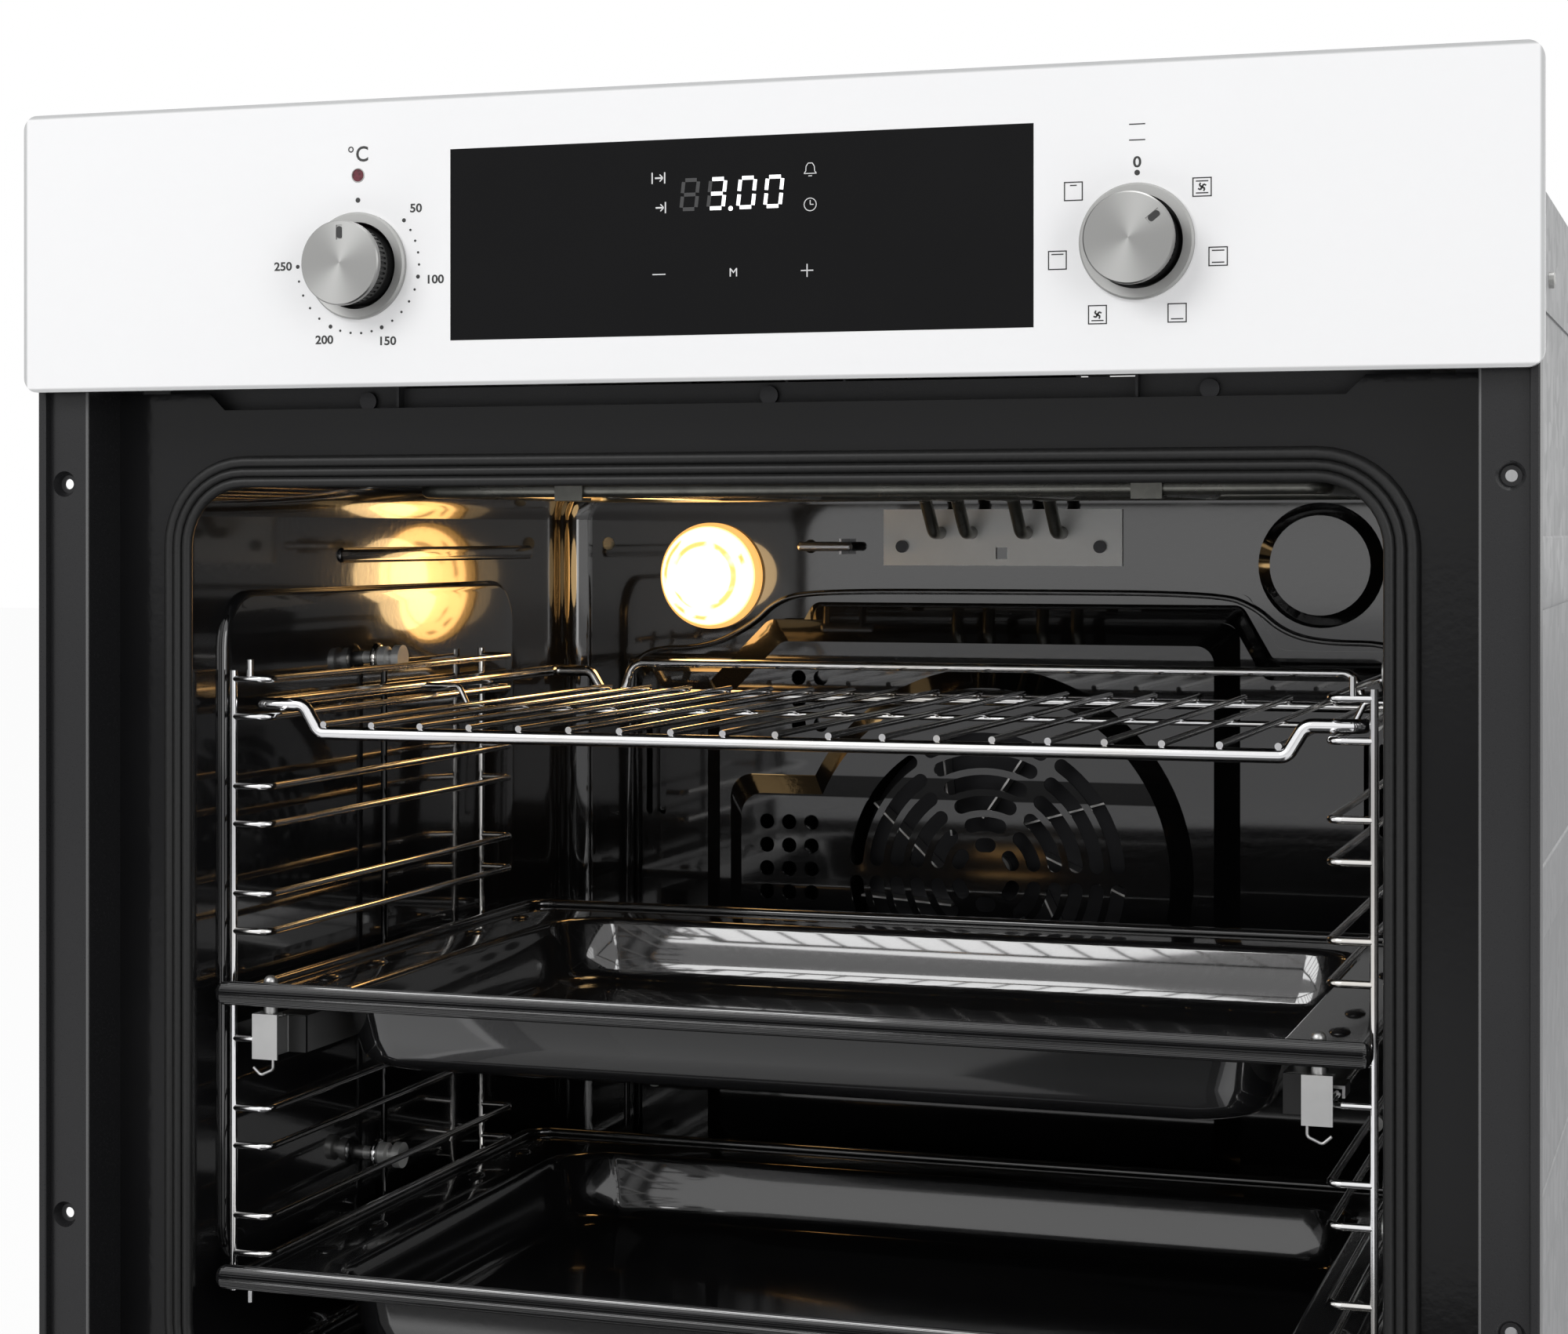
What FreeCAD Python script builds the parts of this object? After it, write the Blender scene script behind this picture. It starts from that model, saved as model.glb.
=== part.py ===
import FreeCAD, Part
import math
import os

# Built-in wall oven, all sizes in millimetres.
# Origin: middle of the housing's bottom edge, in the plane of the kitchen cabinet's front.
# +X to the right as the user sees it, +Y into the cabinet, +Z up. The door is modelled open.

V = FreeCAD.Vector
Z_UP = V(0, 0, 1)
BACKWARD = V(0, 1, 0)
SIDES = (-1, 1)

# --- overall sizes ---
front_width = 595.0
front_top = 595.0
housing_width = 558.0
housing_top = 573.0
housing_depth = 536.0
sheet = 1.0
clear = 0.3
end_rounding = 0.85

# --- front frame: pressed side columns that screw to the cabinet ---
frame_half = front_width / 2 - 2.0
frame_bottom = 3.0
frame_top = front_top - 5.0
lip_front = -13.0
flange_front = -9.5
lip_width = 3.5
column_inner = 275.5
column_fold = 11.0
recess_y = 15.0
screw_x = 285.4
screw_z_low = 151.0
screw_spacing_z = 296.0
screw_hole_r = 2.1
dimple_r = 5.2
dimple_back = -5.0
fold_r = 0.8
plinth_top = 24.0

# --- cavity (the enamelled muffle) ---
cavity_half = 243.0
cavity_floor = 78.0
cavity_ceiling = 456.0
cavity_back = 419.0
cavity_corner_r = 22.0
cavity_back_r = 14.0
enamel = 1.2
face_top = 484.0
air_slot_z = 477.0
air_slot_half = 226.0

# --- door gasket ---
gasket_half = 252.5
gasket_width = 13.2
gasket_top = 458.5
gasket_bottom = 68.0
gasket_front = 9.0
gasket_corner_r = 37.0

# --- insulation ---
wool_side = 20.0
wool_top = 14.0
wool_bottom = 28.0
wool_back = 22.0
heater_gap = 14.0

# --- control panel ---
panel_height = 111.3
panel_front = -20.0
glass = 4.0
panel_corner_r = 6.0
knob_z = 530.5
thermostat_x = -148.4
selector_x = 157.3
window_x0 = -109.2
window_x1 = 119.7
window_z0 = 500.8
window_z1 = 574.1
lamp_dot_z = 565.6
lamp_dot_r = 2.4
knob_hole_r = 17.0
collar_r = 20.7
collar_height = 2.6
cap_r = 16.3
cap_thickness = 2.5
cap_front = -36.0
grip_r = 15.2
grip_back = -14.0
knob_travel = 11.0
spindle_r = 3.0
spindle_fit = 0.05
bracket_y = 2.0
mark_radius = 11.6
mark_length = 5.6
mark_width = 2.6
mark_depth = 0.5
selector_step = 360.0 / 7
switch_depth = 26.0
thermostat_size = 38.0
selector_size = 46.0

# --- wire shelves' side ladders ---
wire_r = 1.5
ladder_x = 233.5
rail_x = 217.2
stub_offset = 8.6
thumb_nut_length = 11.0
ladder_front = 35.7
ladder_rear = 284.0
top_rail_z = 366.8
rail_pitch = 44.4
rail_gap = 15.6
rail_levels = 6
ladder_bend = 4.5
stud_y = 169.5
stud_z_top = 370.2
stud_z_low = 143.2
stud_r = 3.0
thumb_nut_r = 5.2

# --- wire rack ---
rack_r = 2.8
rack_wire_r = 1.35
rack_half = 228.0
rack_front = 47.0
rack_rear = 362.5
rack_drop = 11.5
rack_step_in = 21.0
rack_wires = 19
rack_pitch = 21.9
guard_rise = 16.0
guard_half = 184.0
guard_r = 2.2

# --- trays ---
tray_sheet = 1.2
pan_half = 198.0
pan_front = 42.0
pan_back = 308.0
pan_depth = 30.0
pan_slope = 7.0
pan_corner_r = 26.0
flange_half = 228.8
flange_front_y = 24.0
flange_back_y = 338.0
tray_roll_r = 2.4
tray_lip_r = 3.9
tray_lip_half = 234.5
upper_level = 3
lower_rail_drop = 12.0
lower_rail_z = top_rail_z - rail_pitch * (rail_levels - 1) - rail_gap - lower_rail_drop

# --- telescopic runners of the upper tray ---
runner_height = 15.0
runner_wall = 1.0
runner_inner = 200.3
runner_front = 38.0
runner_length = 290.0
pin_x = 214.0
pin_y = 31.5
pin_r = 2.8
pin_top = 9.0

# --- rear baffle, convection fan, lamp, heaters ---
baffle_face = 396.0
baffle_half = 206.0
baffle_bottom = 92.0
baffle_shoulder = 364.0
baffle_crown = 392.0
baffle_crown_x0 = -104.0
baffle_crown_x1 = 122.0
baffle_flange = 4.5
baffle_step = 408.0
baffle_step_draft = 10.0
plateau_x0 = -148.0
plateau_x1 = 111.0
plateau_draft = 11.0
plateau_notch = 34.0
side_slot_x = (184.5, 192.0)
side_slot_r = 1.9
side_slot_z = (280.0, 322.0)
fan_x = -3.0
fan_z = 255.0
disc_r = 94.0
disc_foot_r = 104.0
disc_rise = 9.0
grille_r = 71.6
grille_rings = 6
grille_ring_pitch = 10.6
grille_slot = 7.2
grille_spoke = 5.0
air_hole_r = 3.9
air_hole_pitch = 12.0
side_holes_x = -119.0
side_holes_z = 278.5
upper_holes_x = -104.8
upper_holes_z = 352.3
pad_x = -80.0
pad_half = 62.0
pad_z0 = 196.0
pad_z1 = 302.0
pad_corner_r = 12.0
fan_r = 72.0
fan_blades = 9
fan_shaft_r = 4.0
fan_shaft_fit = 0.06
lamp_x = -160.2
lamp_z = 404.4
lamp_glass_r = 28.0
blank_x = 160.4
blank_z = 411.0
blank_r = 24.8
blank_slope = 6.4
blank_rise = 5.0
vent_hole_x = -219.7
vent_hole_z = 421.3
vent_hole_r = 3.5
heater_r = 3.25
heater_z = 427.1
heater_ceiling_z = 446.0
heater_front = 147.0
clip_x = (-128.0, 128.0)
top_heater_x = (-34.9, 29.3)
grill_heater_x = (-18.2, 10.8)
bottom_heater_x = (-30.0, 30.0)
bottom_heater_z = cavity_floor - enamel - heater_r - 0.4
plate_x0 = -65.3
plate_x1 = 60.5
plate_z0 = 410.2
plate_z1 = 439.2
probe_x0 = -105.6
probe_x1 = -83.0
probe_z = 420.0
baffle_screw_x = 188.3
baffle_screw_z = (138.3, 334.0)

# --- cooling fan over the cavity ---
blower_y = 190.0
blower_r = 88.0
blower_wheel_r = 70.0
duct_half = 150.0
duct_height = 26.0
channel_y = 22.0
channel_half = 255.0
channel_screw_x = (-164.0, 6.0, 176.0)
channel_screw_z = 480.0

# --- door ---
door_gap = 4.0
door_bottom = 28.0
door_half = 270.0
pivot_y = -6.0
pivot_z = 16.0
hinge_x = 262.0
hinge_pin_r = 3.0
hinge_pin_fit = 0.05
door_rail_width = 24.0
door_pack_y = -16.0
handle_r = 7.0
handle_out = 42.0
handle_half = 230.0
handle_drop = 38.0
handle_post_x = 205.0


# ---------- shape helpers ----------
def box(x0, x1, y0, y1, z0, z1):
    return Part.makeBox(x1 - x0, y1 - y0, z1 - z0, V(x0, y0, z0))


def rod(start, end, radius):
    start, end = V(*start), V(*end)
    return Part.makeCylinder(radius, start.distanceToPoint(end), start, end - start)


def rounded_rod(start, end, radius):
    """A pin or bar whose ends are rounded off."""
    bar = rod(start, end, radius)
    rims = [e for e in bar.Edges if len(e.Vertexes) == 1]
    return bar.makeFillet(radius * end_rounding, rims)


def union(shapes):
    shapes = list(shapes)
    return shapes[0].fuse(shapes[1:]).removeSplitter()


def mirrored(shape):
    return shape.mirror(V(0, 0, 0), V(1, 0, 0))


def both_sides(shape):
    """The shape and its mirror image about the middle plane, as one group of solids."""
    return Part.makeCompound([shape, mirrored(shape)])


def filleted_outline(points, radius):
    """A closed wire through the points, in order, with each corner rounded."""
    edges = []
    count = len(points)
    last = None
    first = None
    for i in range(count):
        corner = V(*points[i])
        before = V(*points[i - 1]) - corner
        after = V(*points[(i + 1) % count]) - corner
        turn = math.pi - before.getAngle(after)
        reach = radius * math.tan(turn / 2)
        start = corner + before.normalize() * reach
        end = corner + after.normalize() * reach
        bulge = (start + end) / 2 - corner
        to_arc = radius / math.cos(turn / 2) - radius
        middle = corner + bulge.normalize() * to_arc
        if last is not None:
            edges.append(Part.makeLine(last, start))
        else:
            first = start
        edges.append(Part.Arc(start, middle, end).toShape())
        last = end
    edges.append(Part.makeLine(last, first))
    return Part.Wire(edges)


def rectangle(half_x, z0, z1, radius, y, centre_x=0.0):
    """A rounded rectangle standing in the plane at depth y."""
    x0, x1 = centre_x - half_x, centre_x + half_x
    return filleted_outline([(x0, y, z0), (x1, y, z0), (x1, y, z1), (x0, y, z1)], radius)


def slab(wire, depth):
    """A flat outline standing in an XZ plane, thickened backwards by depth."""
    return Part.Face(wire).extrude(V(0, depth, 0))


def bent_path(points, radius):
    """An open wire of straight runs joined by tangent arcs."""
    points = [V(*p) for p in points]
    edges = []
    last = points[0]
    for i in range(1, len(points) - 1):
        corner = points[i]
        before = points[i - 1] - corner
        after = points[i + 1] - corner
        turn = math.pi - before.getAngle(after)
        reach = radius * math.tan(turn / 2)
        start = corner + before.normalize() * reach
        end = corner + after.normalize() * reach
        bulge = (start + end) / 2 - corner
        middle = corner + bulge.normalize() * (radius / math.cos(turn / 2) - radius)
        if last.distanceToPoint(start) > 1e-6:
            edges.append(Part.makeLine(last, start))
        edges.append(Part.Arc(start, middle, end).toShape())
        last = end
    edges.append(Part.makeLine(last, points[-1]))
    return Part.Wire(edges)


def bent_rod(points, bend, radius):
    """Round wire or tube of this radius that follows the points."""
    path = bent_path(points, bend)
    direction = V(*points[1]) - V(*points[0])
    profile = Part.Wire(Part.makeCircle(radius, V(*points[0]), direction))
    return Part.Solid(path.makePipeShell([profile], True, False))


def turned(points, centre, axis):
    """A solid of revolution: points are (radius, distance along the axis from centre)."""
    outline = Part.makePolygon([V(r, 0, h) for r, h in points + points[:1]])
    body = Part.Face(outline).revolve(V(0, 0, 0), Z_UP, 360)
    body.Placement = FreeCAD.Placement(V(*centre), FreeCAD.Rotation(Z_UP, V(*axis)))
    return body


def hole_y(x, z, radius, y0, y1):
    return rod((x, y0, z), (x, y1, z), radius)


def save(name, shape):
    shape.exportStep(f"parts/{name}.step")


# ---------- housing ----------
half_housing = housing_width / 2
panel_bottom = front_top - panel_height
glass_back = panel_front + glass
flange_back = flange_front + sheet
skirt_z = housing_top - 51.0


def side_panel():
    """Right-hand galvanised side, with its rear edge turned in."""
    wall = box(half_housing - sheet, half_housing, flange_back, housing_depth,
               sheet, housing_top - sheet)
    rear_fold = box(half_housing - 16.0, half_housing - sheet, housing_depth - 2 * sheet,
                    housing_depth - sheet, sheet, housing_top - sheet)
    return wall.fuse(rear_fold)


def top_cover():
    """Lid with skirts that overlap the sides, and a row of vent slots at the rear."""
    outer = half_housing + sheet
    front = recess_y + enamel + sheet + clear
    lid = box(-outer, outer, front, housing_depth, housing_top - sheet, housing_top)
    skirt = box(half_housing, outer, front, housing_depth, skirt_z, housing_top - sheet)
    lid = union([lid, skirt, mirrored(skirt)])
    for i in range(-9, 10):
        slot_x = i * 22.0
        lid = lid.cut(box(slot_x - 3, slot_x + 3, housing_depth - 90, housing_depth - 40,
                          housing_top - 2 * sheet, housing_top + sheet))
    return lid


def rear_panel():
    """Back sheet with vent slots above and below the fan motor."""
    back = box(-half_housing + sheet, half_housing - sheet, housing_depth - sheet, housing_depth,
               sheet, housing_top - sheet)
    for z in (60.0, 80.0, 470.0, 490.0, 510.0, 530.0):
        for i in range(-4, 5):
            slot_x = i * 46.0
            back = back.cut(box(slot_x - 17, slot_x + 17, housing_depth - 2 * sheet,
                                housing_depth + sheet, z - 3, z + 3))
    return back


def base_panel():
    """Floor sheet that the oven stands on, with four pressed ribs underneath the wool."""
    base = box(-half_housing, half_housing, 0, housing_depth, 0, sheet)
    ribs = []
    for x in (-180.0, -60.0, 60.0, 180.0):
        ribs.append(box(x - 12, x + 12, 60, housing_depth - 60, sheet, cavity_floor - enamel - wool_bottom))
    return union([base] + ribs)


def terminal_cover():
    """Mains terminal box on the back, with the hole that the supply lead enters by."""
    cover = box(120, 205, housing_depth, housing_depth + 12, 96, 156)
    cover = cover.fuse(rod((162.5, housing_depth + 6, 96), (162.5, housing_depth + 6, 84), 5.5))
    return cover.cut(rod((162.5, housing_depth + 6, 120), (162.5, housing_depth + 6, 80), 3.6))


# ---------- front frame ----------
def screw_dimple(x, z):
    """Shallow cone pressed back from the flange round a screw hole."""
    rim = dimple_r + 1.4
    wall = [(screw_hole_r, dimple_back - sheet), (dimple_r - 1.6, dimple_back - sheet),
            (dimple_r, flange_front), (rim, flange_front), (rim, flange_back),
            (dimple_r + 1.0, flange_back), (dimple_r - 0.5, dimple_back), (screw_hole_r, dimple_back)]
    return turned(wall, (x, 0, z), (0, 1, 0))


def upright_at(edge, places):
    """Whether an edge is the vertical one that stands at one of these (x, y) places."""
    bounds = edge.BoundBox
    return bounds.ZLength > frame_top / 2 and any(
        abs(bounds.XMin - x) + abs(bounds.XMax - x) + abs(bounds.YMin - y) + abs(bounds.YMax - y) < 0.01
        for x, y in places)


def frame_column():
    """Right-hand column: outer lip, flange, and step wall back to the cavity face."""
    z0, z1 = frame_bottom, frame_top
    bead = frame_half - lip_width
    parts = [box(frame_half - sheet, frame_half, lip_front, 0, z0, z1),
             box(bead, frame_half, lip_front, lip_front + sheet, z0, z1),
             box(bead, bead + sheet, lip_front, flange_back, z0, z1),
             box(column_inner - sheet, bead + sheet, flange_front, flange_back, z0, z1),
             box(column_inner - sheet, column_inner, flange_front, recess_y + enamel + sheet, z0, z1),
             box(column_inner - column_fold, column_inner, recess_y + enamel,
                 recess_y + enamel + sheet, z0, z1)]
    column = union(parts)
    folds = ((column_inner - sheet, flange_front), (bead, lip_front), (frame_half, lip_front))
    column = column.makeFillet(fold_r, [e for e in column.Edges if upright_at(e, folds)])
    for z in (screw_z_low, screw_z_low + screw_spacing_z):
        column = column.cut(hole_y(screw_x, z, dimple_r + 1.4, flange_front - 1, flange_back + 1))
        column = column.fuse(screw_dimple(screw_x, z))
    return column


def front_frame():
    """Both columns welded to the plinth strip and to the rail behind the control panel."""
    inner = column_inner - sheet
    plinth = union([box(-inner, inner, lip_front, lip_front + sheet, frame_bottom, plinth_top),
                    box(-inner, inner, lip_front, recess_y + enamel + sheet, plinth_top - sheet, plinth_top),
                    box(-inner, inner, recess_y + enamel, recess_y + enamel + sheet,
                        frame_bottom, plinth_top + 8)])
    for side in SIDES:
        notch_x = side * hinge_x
        plinth = plinth.cut(box(notch_x - 9, notch_x + 9, lip_front - 1, recess_y - 4, 5, plinth_top + 1))
        plinth = plinth.cut(box(notch_x - 3, notch_x + 3, recess_y - 5, recess_y + 3,
                                pivot_z - 7, pivot_z + 7))
    top_rail = union([box(-inner, inner, lip_front + 3, recess_y, frame_top - sheet, frame_top),
                      box(-inner, inner, recess_y, recess_y + sheet, frame_top - 16, frame_top)])
    column = frame_column()
    return union([column, mirrored(column), plinth, top_rail])


# ---------- cavity ----------
def cavity_openings():
    """Holes through the cavity's back and sides for what is mounted in them."""
    back0, back1 = cavity_back - 5, cavity_back + enamel + 5
    holes = [hole_y(lamp_x, lamp_z, lamp_glass_r - 4, back0, back1),
             hole_y(fan_x, fan_z, fan_shaft_r + 4.3, back0, back1),
             hole_y(probe_x0, probe_z, 3.6, back0, back1),
             hole_y(vent_hole_x, vent_hole_z, vent_hole_r, back0, back1)]
    for x in top_heater_x + grill_heater_x:
        holes.append(hole_y(x, heater_z, heater_r + clear, back0, back1))
    for x in (plate_x0 + 10.2, plate_x1 - 11.3):
        holes.append(hole_y(x, probe_z, 1.7, back0, back1))
    for side in SIDES:
        for z in baffle_screw_z:
            holes.append(hole_y(side * baffle_screw_x, z, 2.2, back0, back1))
        for z in (stud_z_low, stud_z_top):
            wall = side * cavity_half
            holes.append(rod((wall - 5 * side, stud_y, z), (wall + 5 * side, stud_y, z), stud_r + 0.2))
    return holes


def cavity_liner():
    """Enamelled muffle: five walls in one, with the flat face that carries the gasket."""
    outer = slab(rectangle(cavity_half + enamel, cavity_floor - enamel, cavity_ceiling + enamel,
                           cavity_corner_r + enamel, recess_y), cavity_back + enamel - recess_y)
    inner = slab(rectangle(cavity_half, cavity_floor, cavity_ceiling, cavity_corner_r,
                           recess_y - 1), cavity_back - recess_y + 1)
    outer = outer.makeFillet(cavity_back_r + enamel, rear_edges(outer, cavity_back + enamel))
    inner = inner.makeFillet(cavity_back_r, rear_edges(inner, cavity_back))
    face_half = column_inner - sheet
    face = box(-face_half, face_half, recess_y, recess_y + enamel, plinth_top, face_top)
    slope = face_top - air_slot_z
    slot = Part.makePolygon([V(-air_slot_half, recess_y - 1, air_slot_z),
                             V(air_slot_half, recess_y - 1, air_slot_z),
                             V(air_slot_half + slope + 1, recess_y - 1, face_top + 1),
                             V(-air_slot_half - slope - 1, recess_y - 1, face_top + 1),
                             V(-air_slot_half, recess_y - 1, air_slot_z)])
    face = face.cut(slab(slot, enamel + 2))
    shell = face.fuse(outer).cut(inner)
    blank = turned([(0, 0), (blank_r + blank_slope, 0), (blank_r, blank_rise), (0, blank_rise)],
                   (blank_x, cavity_back, blank_z), (0, -1, 0))
    shell = shell.fuse(blank)
    for hole in cavity_openings():
        shell = shell.cut(hole)
    return shell


def rear_edges(solid, y):
    """Edges of a solid that lie in the plane at depth y."""
    return [e for e in solid.Edges
            if abs(e.BoundBox.YMin - y) < 1e-4 and abs(e.BoundBox.YMax - y) < 1e-4]


def ring(half, z0, z1, radius, width, y, depth):
    """A rounded rectangular ring, width wide, whose outer edge is given."""
    outer = slab(rectangle(half, z0, z1, radius, y), depth)
    inner = slab(rectangle(half - width, z0 + width, z1 - width, radius - width, y - 1), depth + 2)
    return outer.cut(inner)


def door_gasket():
    """Silicone ring on the cavity face: flat base, wide bead and a thin inner lip."""
    body = recess_y - 3.6
    base = ring(gasket_half, gasket_bottom, gasket_top, gasket_corner_r, gasket_width,
                body, recess_y - body)
    bead = ring(gasket_half - 3, gasket_bottom + 3, gasket_top - 3, gasket_corner_r - 3, 5.0,
                gasket_front, body - gasket_front)
    lip = ring(gasket_half - 10, gasket_bottom + 10, gasket_top - 10, gasket_corner_r - 10, 2.2,
               gasket_front + 1, body - gasket_front - 1)
    return union([base, bead, lip])


def insulation_blanket():
    """Mineral wool jacket, open at the front and cleared for what passes through it."""
    front = recess_y + enamel + sheet
    gap = 0.4
    outer = box(-cavity_half - enamel - wool_side, cavity_half + enamel + wool_side, front,
                cavity_back + enamel + wool_back, cavity_floor - enamel - wool_bottom,
                cavity_ceiling + enamel + wool_top)
    inner = slab(rectangle(cavity_half + enamel + gap, cavity_floor - enamel - heater_gap,
                           cavity_ceiling + enamel + gap, cavity_corner_r, front - 1),
                 cavity_back + enamel + gap - front + 1)
    wool = outer.cut(inner)
    back0, back1 = cavity_back, cavity_back + enamel + wool_back + 1
    wool = wool.cut(hole_y(lamp_x, lamp_z, lamp_glass_r, back0, back1))
    wool = wool.cut(hole_y(fan_x, fan_z, 15.0, back0, back1))
    wool = wool.cut(hole_y(probe_x0, probe_z, 5.0, back0, back1))
    wool = wool.cut(box(plate_x0, plate_x1, back0, back1, plate_z0, plate_z1))
    for x in bottom_heater_x:
        wool = wool.cut(hole_y(x, bottom_heater_z, heater_r + clear, back0, back1))
    for side in SIDES:
        for z in (stud_z_low, stud_z_top):
            wall = side * (cavity_half + enamel)
            wool = wool.cut(rod((wall, stud_y, z), (wall + 12 * side, stud_y, z), 8.0))
    return wool


# ---------- control panel ----------
def control_panel_glass():
    """Printed glass front with holes for the two knobs and the pilot lamp."""
    pane = slab(rectangle(front_width / 2, panel_bottom, front_top, panel_corner_r, panel_front), glass)
    for x in (thermostat_x, selector_x):
        pane = pane.cut(hole_y(x, knob_z, knob_hole_r, panel_front - 1, glass_back + 1))
    return pane.cut(hole_y(thermostat_x, lamp_dot_z, lamp_dot_r + clear / 2,
                           panel_front - 1, glass_back + 1))


def panel_carrier():
    """Plastic frame glued behind the glass, clipped over the frame columns' beads."""
    carrier = slab(rectangle(frame_half - 1, panel_bottom + 3, front_top - 4, 4, glass_back),
                   lip_front - glass_back)
    rim = slab(rectangle(column_inner - 3, panel_bottom + 6, frame_top - 3, 4, lip_front), 8)
    rim = rim.cut(slab(rectangle(column_inner - 5, panel_bottom + 8, frame_top - 5, 3, lip_front - 1), 10))
    carrier = carrier.fuse(rim)
    carrier = carrier.cut(box(window_x0 + 3, window_x1 - 3, glass_back - 1, lip_front + 1,
                              window_z0 + 2, window_z1 - 2))
    for x in (thermostat_x, selector_x):
        carrier = carrier.cut(hole_y(x, knob_z, knob_hole_r, glass_back - 1, lip_front + 1))
    return carrier.cut(hole_y(thermostat_x, lamp_dot_z, 4.6, glass_back - 1, lip_front + 1))


def switch_bracket():
    """Steel cross plate between the columns that the controls are screwed to."""
    half = column_inner - sheet
    plate = box(-half, half, bracket_y, bracket_y + sheet, panel_bottom + 10, frame_top - sheet)
    foot = box(-half, half, bracket_y, bracket_y + 12, panel_bottom + 9, panel_bottom + 10)
    plate = plate.fuse(foot)
    for x in (thermostat_x, selector_x):
        plate = plate.cut(hole_y(x, knob_z, 5.3, bracket_y - 1, bracket_y + 2))
    return plate


def display_module():
    """Clock and timer board in its case, pressed against the window in the glass."""
    case = box(window_x0 + 5, window_x1 - 5, glass_back + 2, bracket_y, window_z0 + 4, window_z1 - 4)
    board = box(window_x0 + 10, window_x1 - 10, glass_back + 0.4, glass_back + 2,
                window_z0 + 8, window_z1 - 8)
    return case.fuse(board)


def indicator_lamp():
    """Pilot lamp: a red lens in the glass on a small neon holder."""
    lens = hole_y(thermostat_x, lamp_dot_z, lamp_dot_r, panel_front + 0.2, glass_back + 2)
    holder = hole_y(thermostat_x, lamp_dot_z, 4.2, glass_back + 2, bracket_y)
    return lens.fuse(holder)


def rotary_control(x, size):
    """Body of the thermostat or selector: case, front bush and a bore for the spindle."""
    body = box(x - size / 2, x + size / 2, bracket_y + sheet, bracket_y + sheet + switch_depth,
               knob_z - size / 2, knob_z + size / 2)
    bush = hole_y(x, knob_z, 5.0, bracket_y - 3, bracket_y + sheet)
    terminals = []
    for i in range(4):
        tab_x = x - size / 2 + size * (i + 0.5) / 4
        tab_y = bracket_y + sheet + switch_depth
        terminals.append(box(tab_x - 3, tab_x + 3, tab_y, tab_y + 8, knob_z - 0.4, knob_z + 0.4))
    body = union([body, bush] + terminals)
    bore_end = bracket_y + sheet + switch_depth - 4
    return body.cut(hole_y(x, knob_z, spindle_r + spindle_fit, bracket_y - 4, bore_end))


def spindle(x):
    """Steel shaft that turns in the control's bush and carries the knob."""
    back = bracket_y + sheet + switch_depth - 4 - clear
    return hole_y(x, knob_z, spindle_r, spindle_tip, back)


spindle_tip = grip_back - 5.5
cap_back = cap_front + cap_thickness


def knob_collar(x):
    """Metal ring glued on the glass round the knob, dished towards it."""
    inner = cap_r + clear + 0.2
    wall = [(inner, 0), (collar_r, 0), (collar_r, collar_height - 0.7), (collar_r - 0.7, collar_height),
            (inner, collar_height - 0.3)]
    return turned(wall, (x, panel_front, knob_z), (0, -1, 0))


def knob_grip(x):
    """Black neck of the knob with a fluted grip band and a blind bore for the spindle."""
    grip = hole_y(x, knob_z, grip_r, cap_back, grip_back)
    flute_r = 0.45
    flutes = 48
    cutters = []
    for i in range(flutes):
        angle = 2 * math.pi * i / flutes
        fx = x + grip_r * math.cos(angle)
        fz = knob_z + grip_r * math.sin(angle)
        cutters.append(hole_y(fx, fz, flute_r, cap_back - 1, cap_back + 7))
    grip = grip.cut(Part.makeCompound(cutters))
    bore_end = spindle_tip - knob_travel - 0.5
    return grip.cut(hole_y(x, knob_z, spindle_r + spindle_fit, bore_end, grip_back + 1))


def knob_cap(x, pointer_angle):
    """Brushed metal disc on the grip's end, with a pressed pointer mark."""
    rim = 0.5
    wall = [(0, 0), (cap_r, 0), (cap_r, cap_thickness - rim), (cap_r - rim, cap_thickness),
            (0, cap_thickness)]
    cap = turned(wall, (x, cap_back, knob_z), (0, -1, 0))
    mark = box(-mark_width / 2, mark_width / 2, cap_front - 1, cap_front + mark_depth,
               mark_radius - mark_length / 2, mark_radius + mark_length / 2)
    mark.rotate(V(0, 0, 0), BACKWARD, pointer_angle)
    mark.translate(V(x, 0, knob_z))
    return cap.cut(mark)


# ---------- side ladders and what slides on them ----------
def rail_height(level, lower):
    return top_rail_z - rail_pitch * level - (rail_gap if lower else 0)


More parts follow.
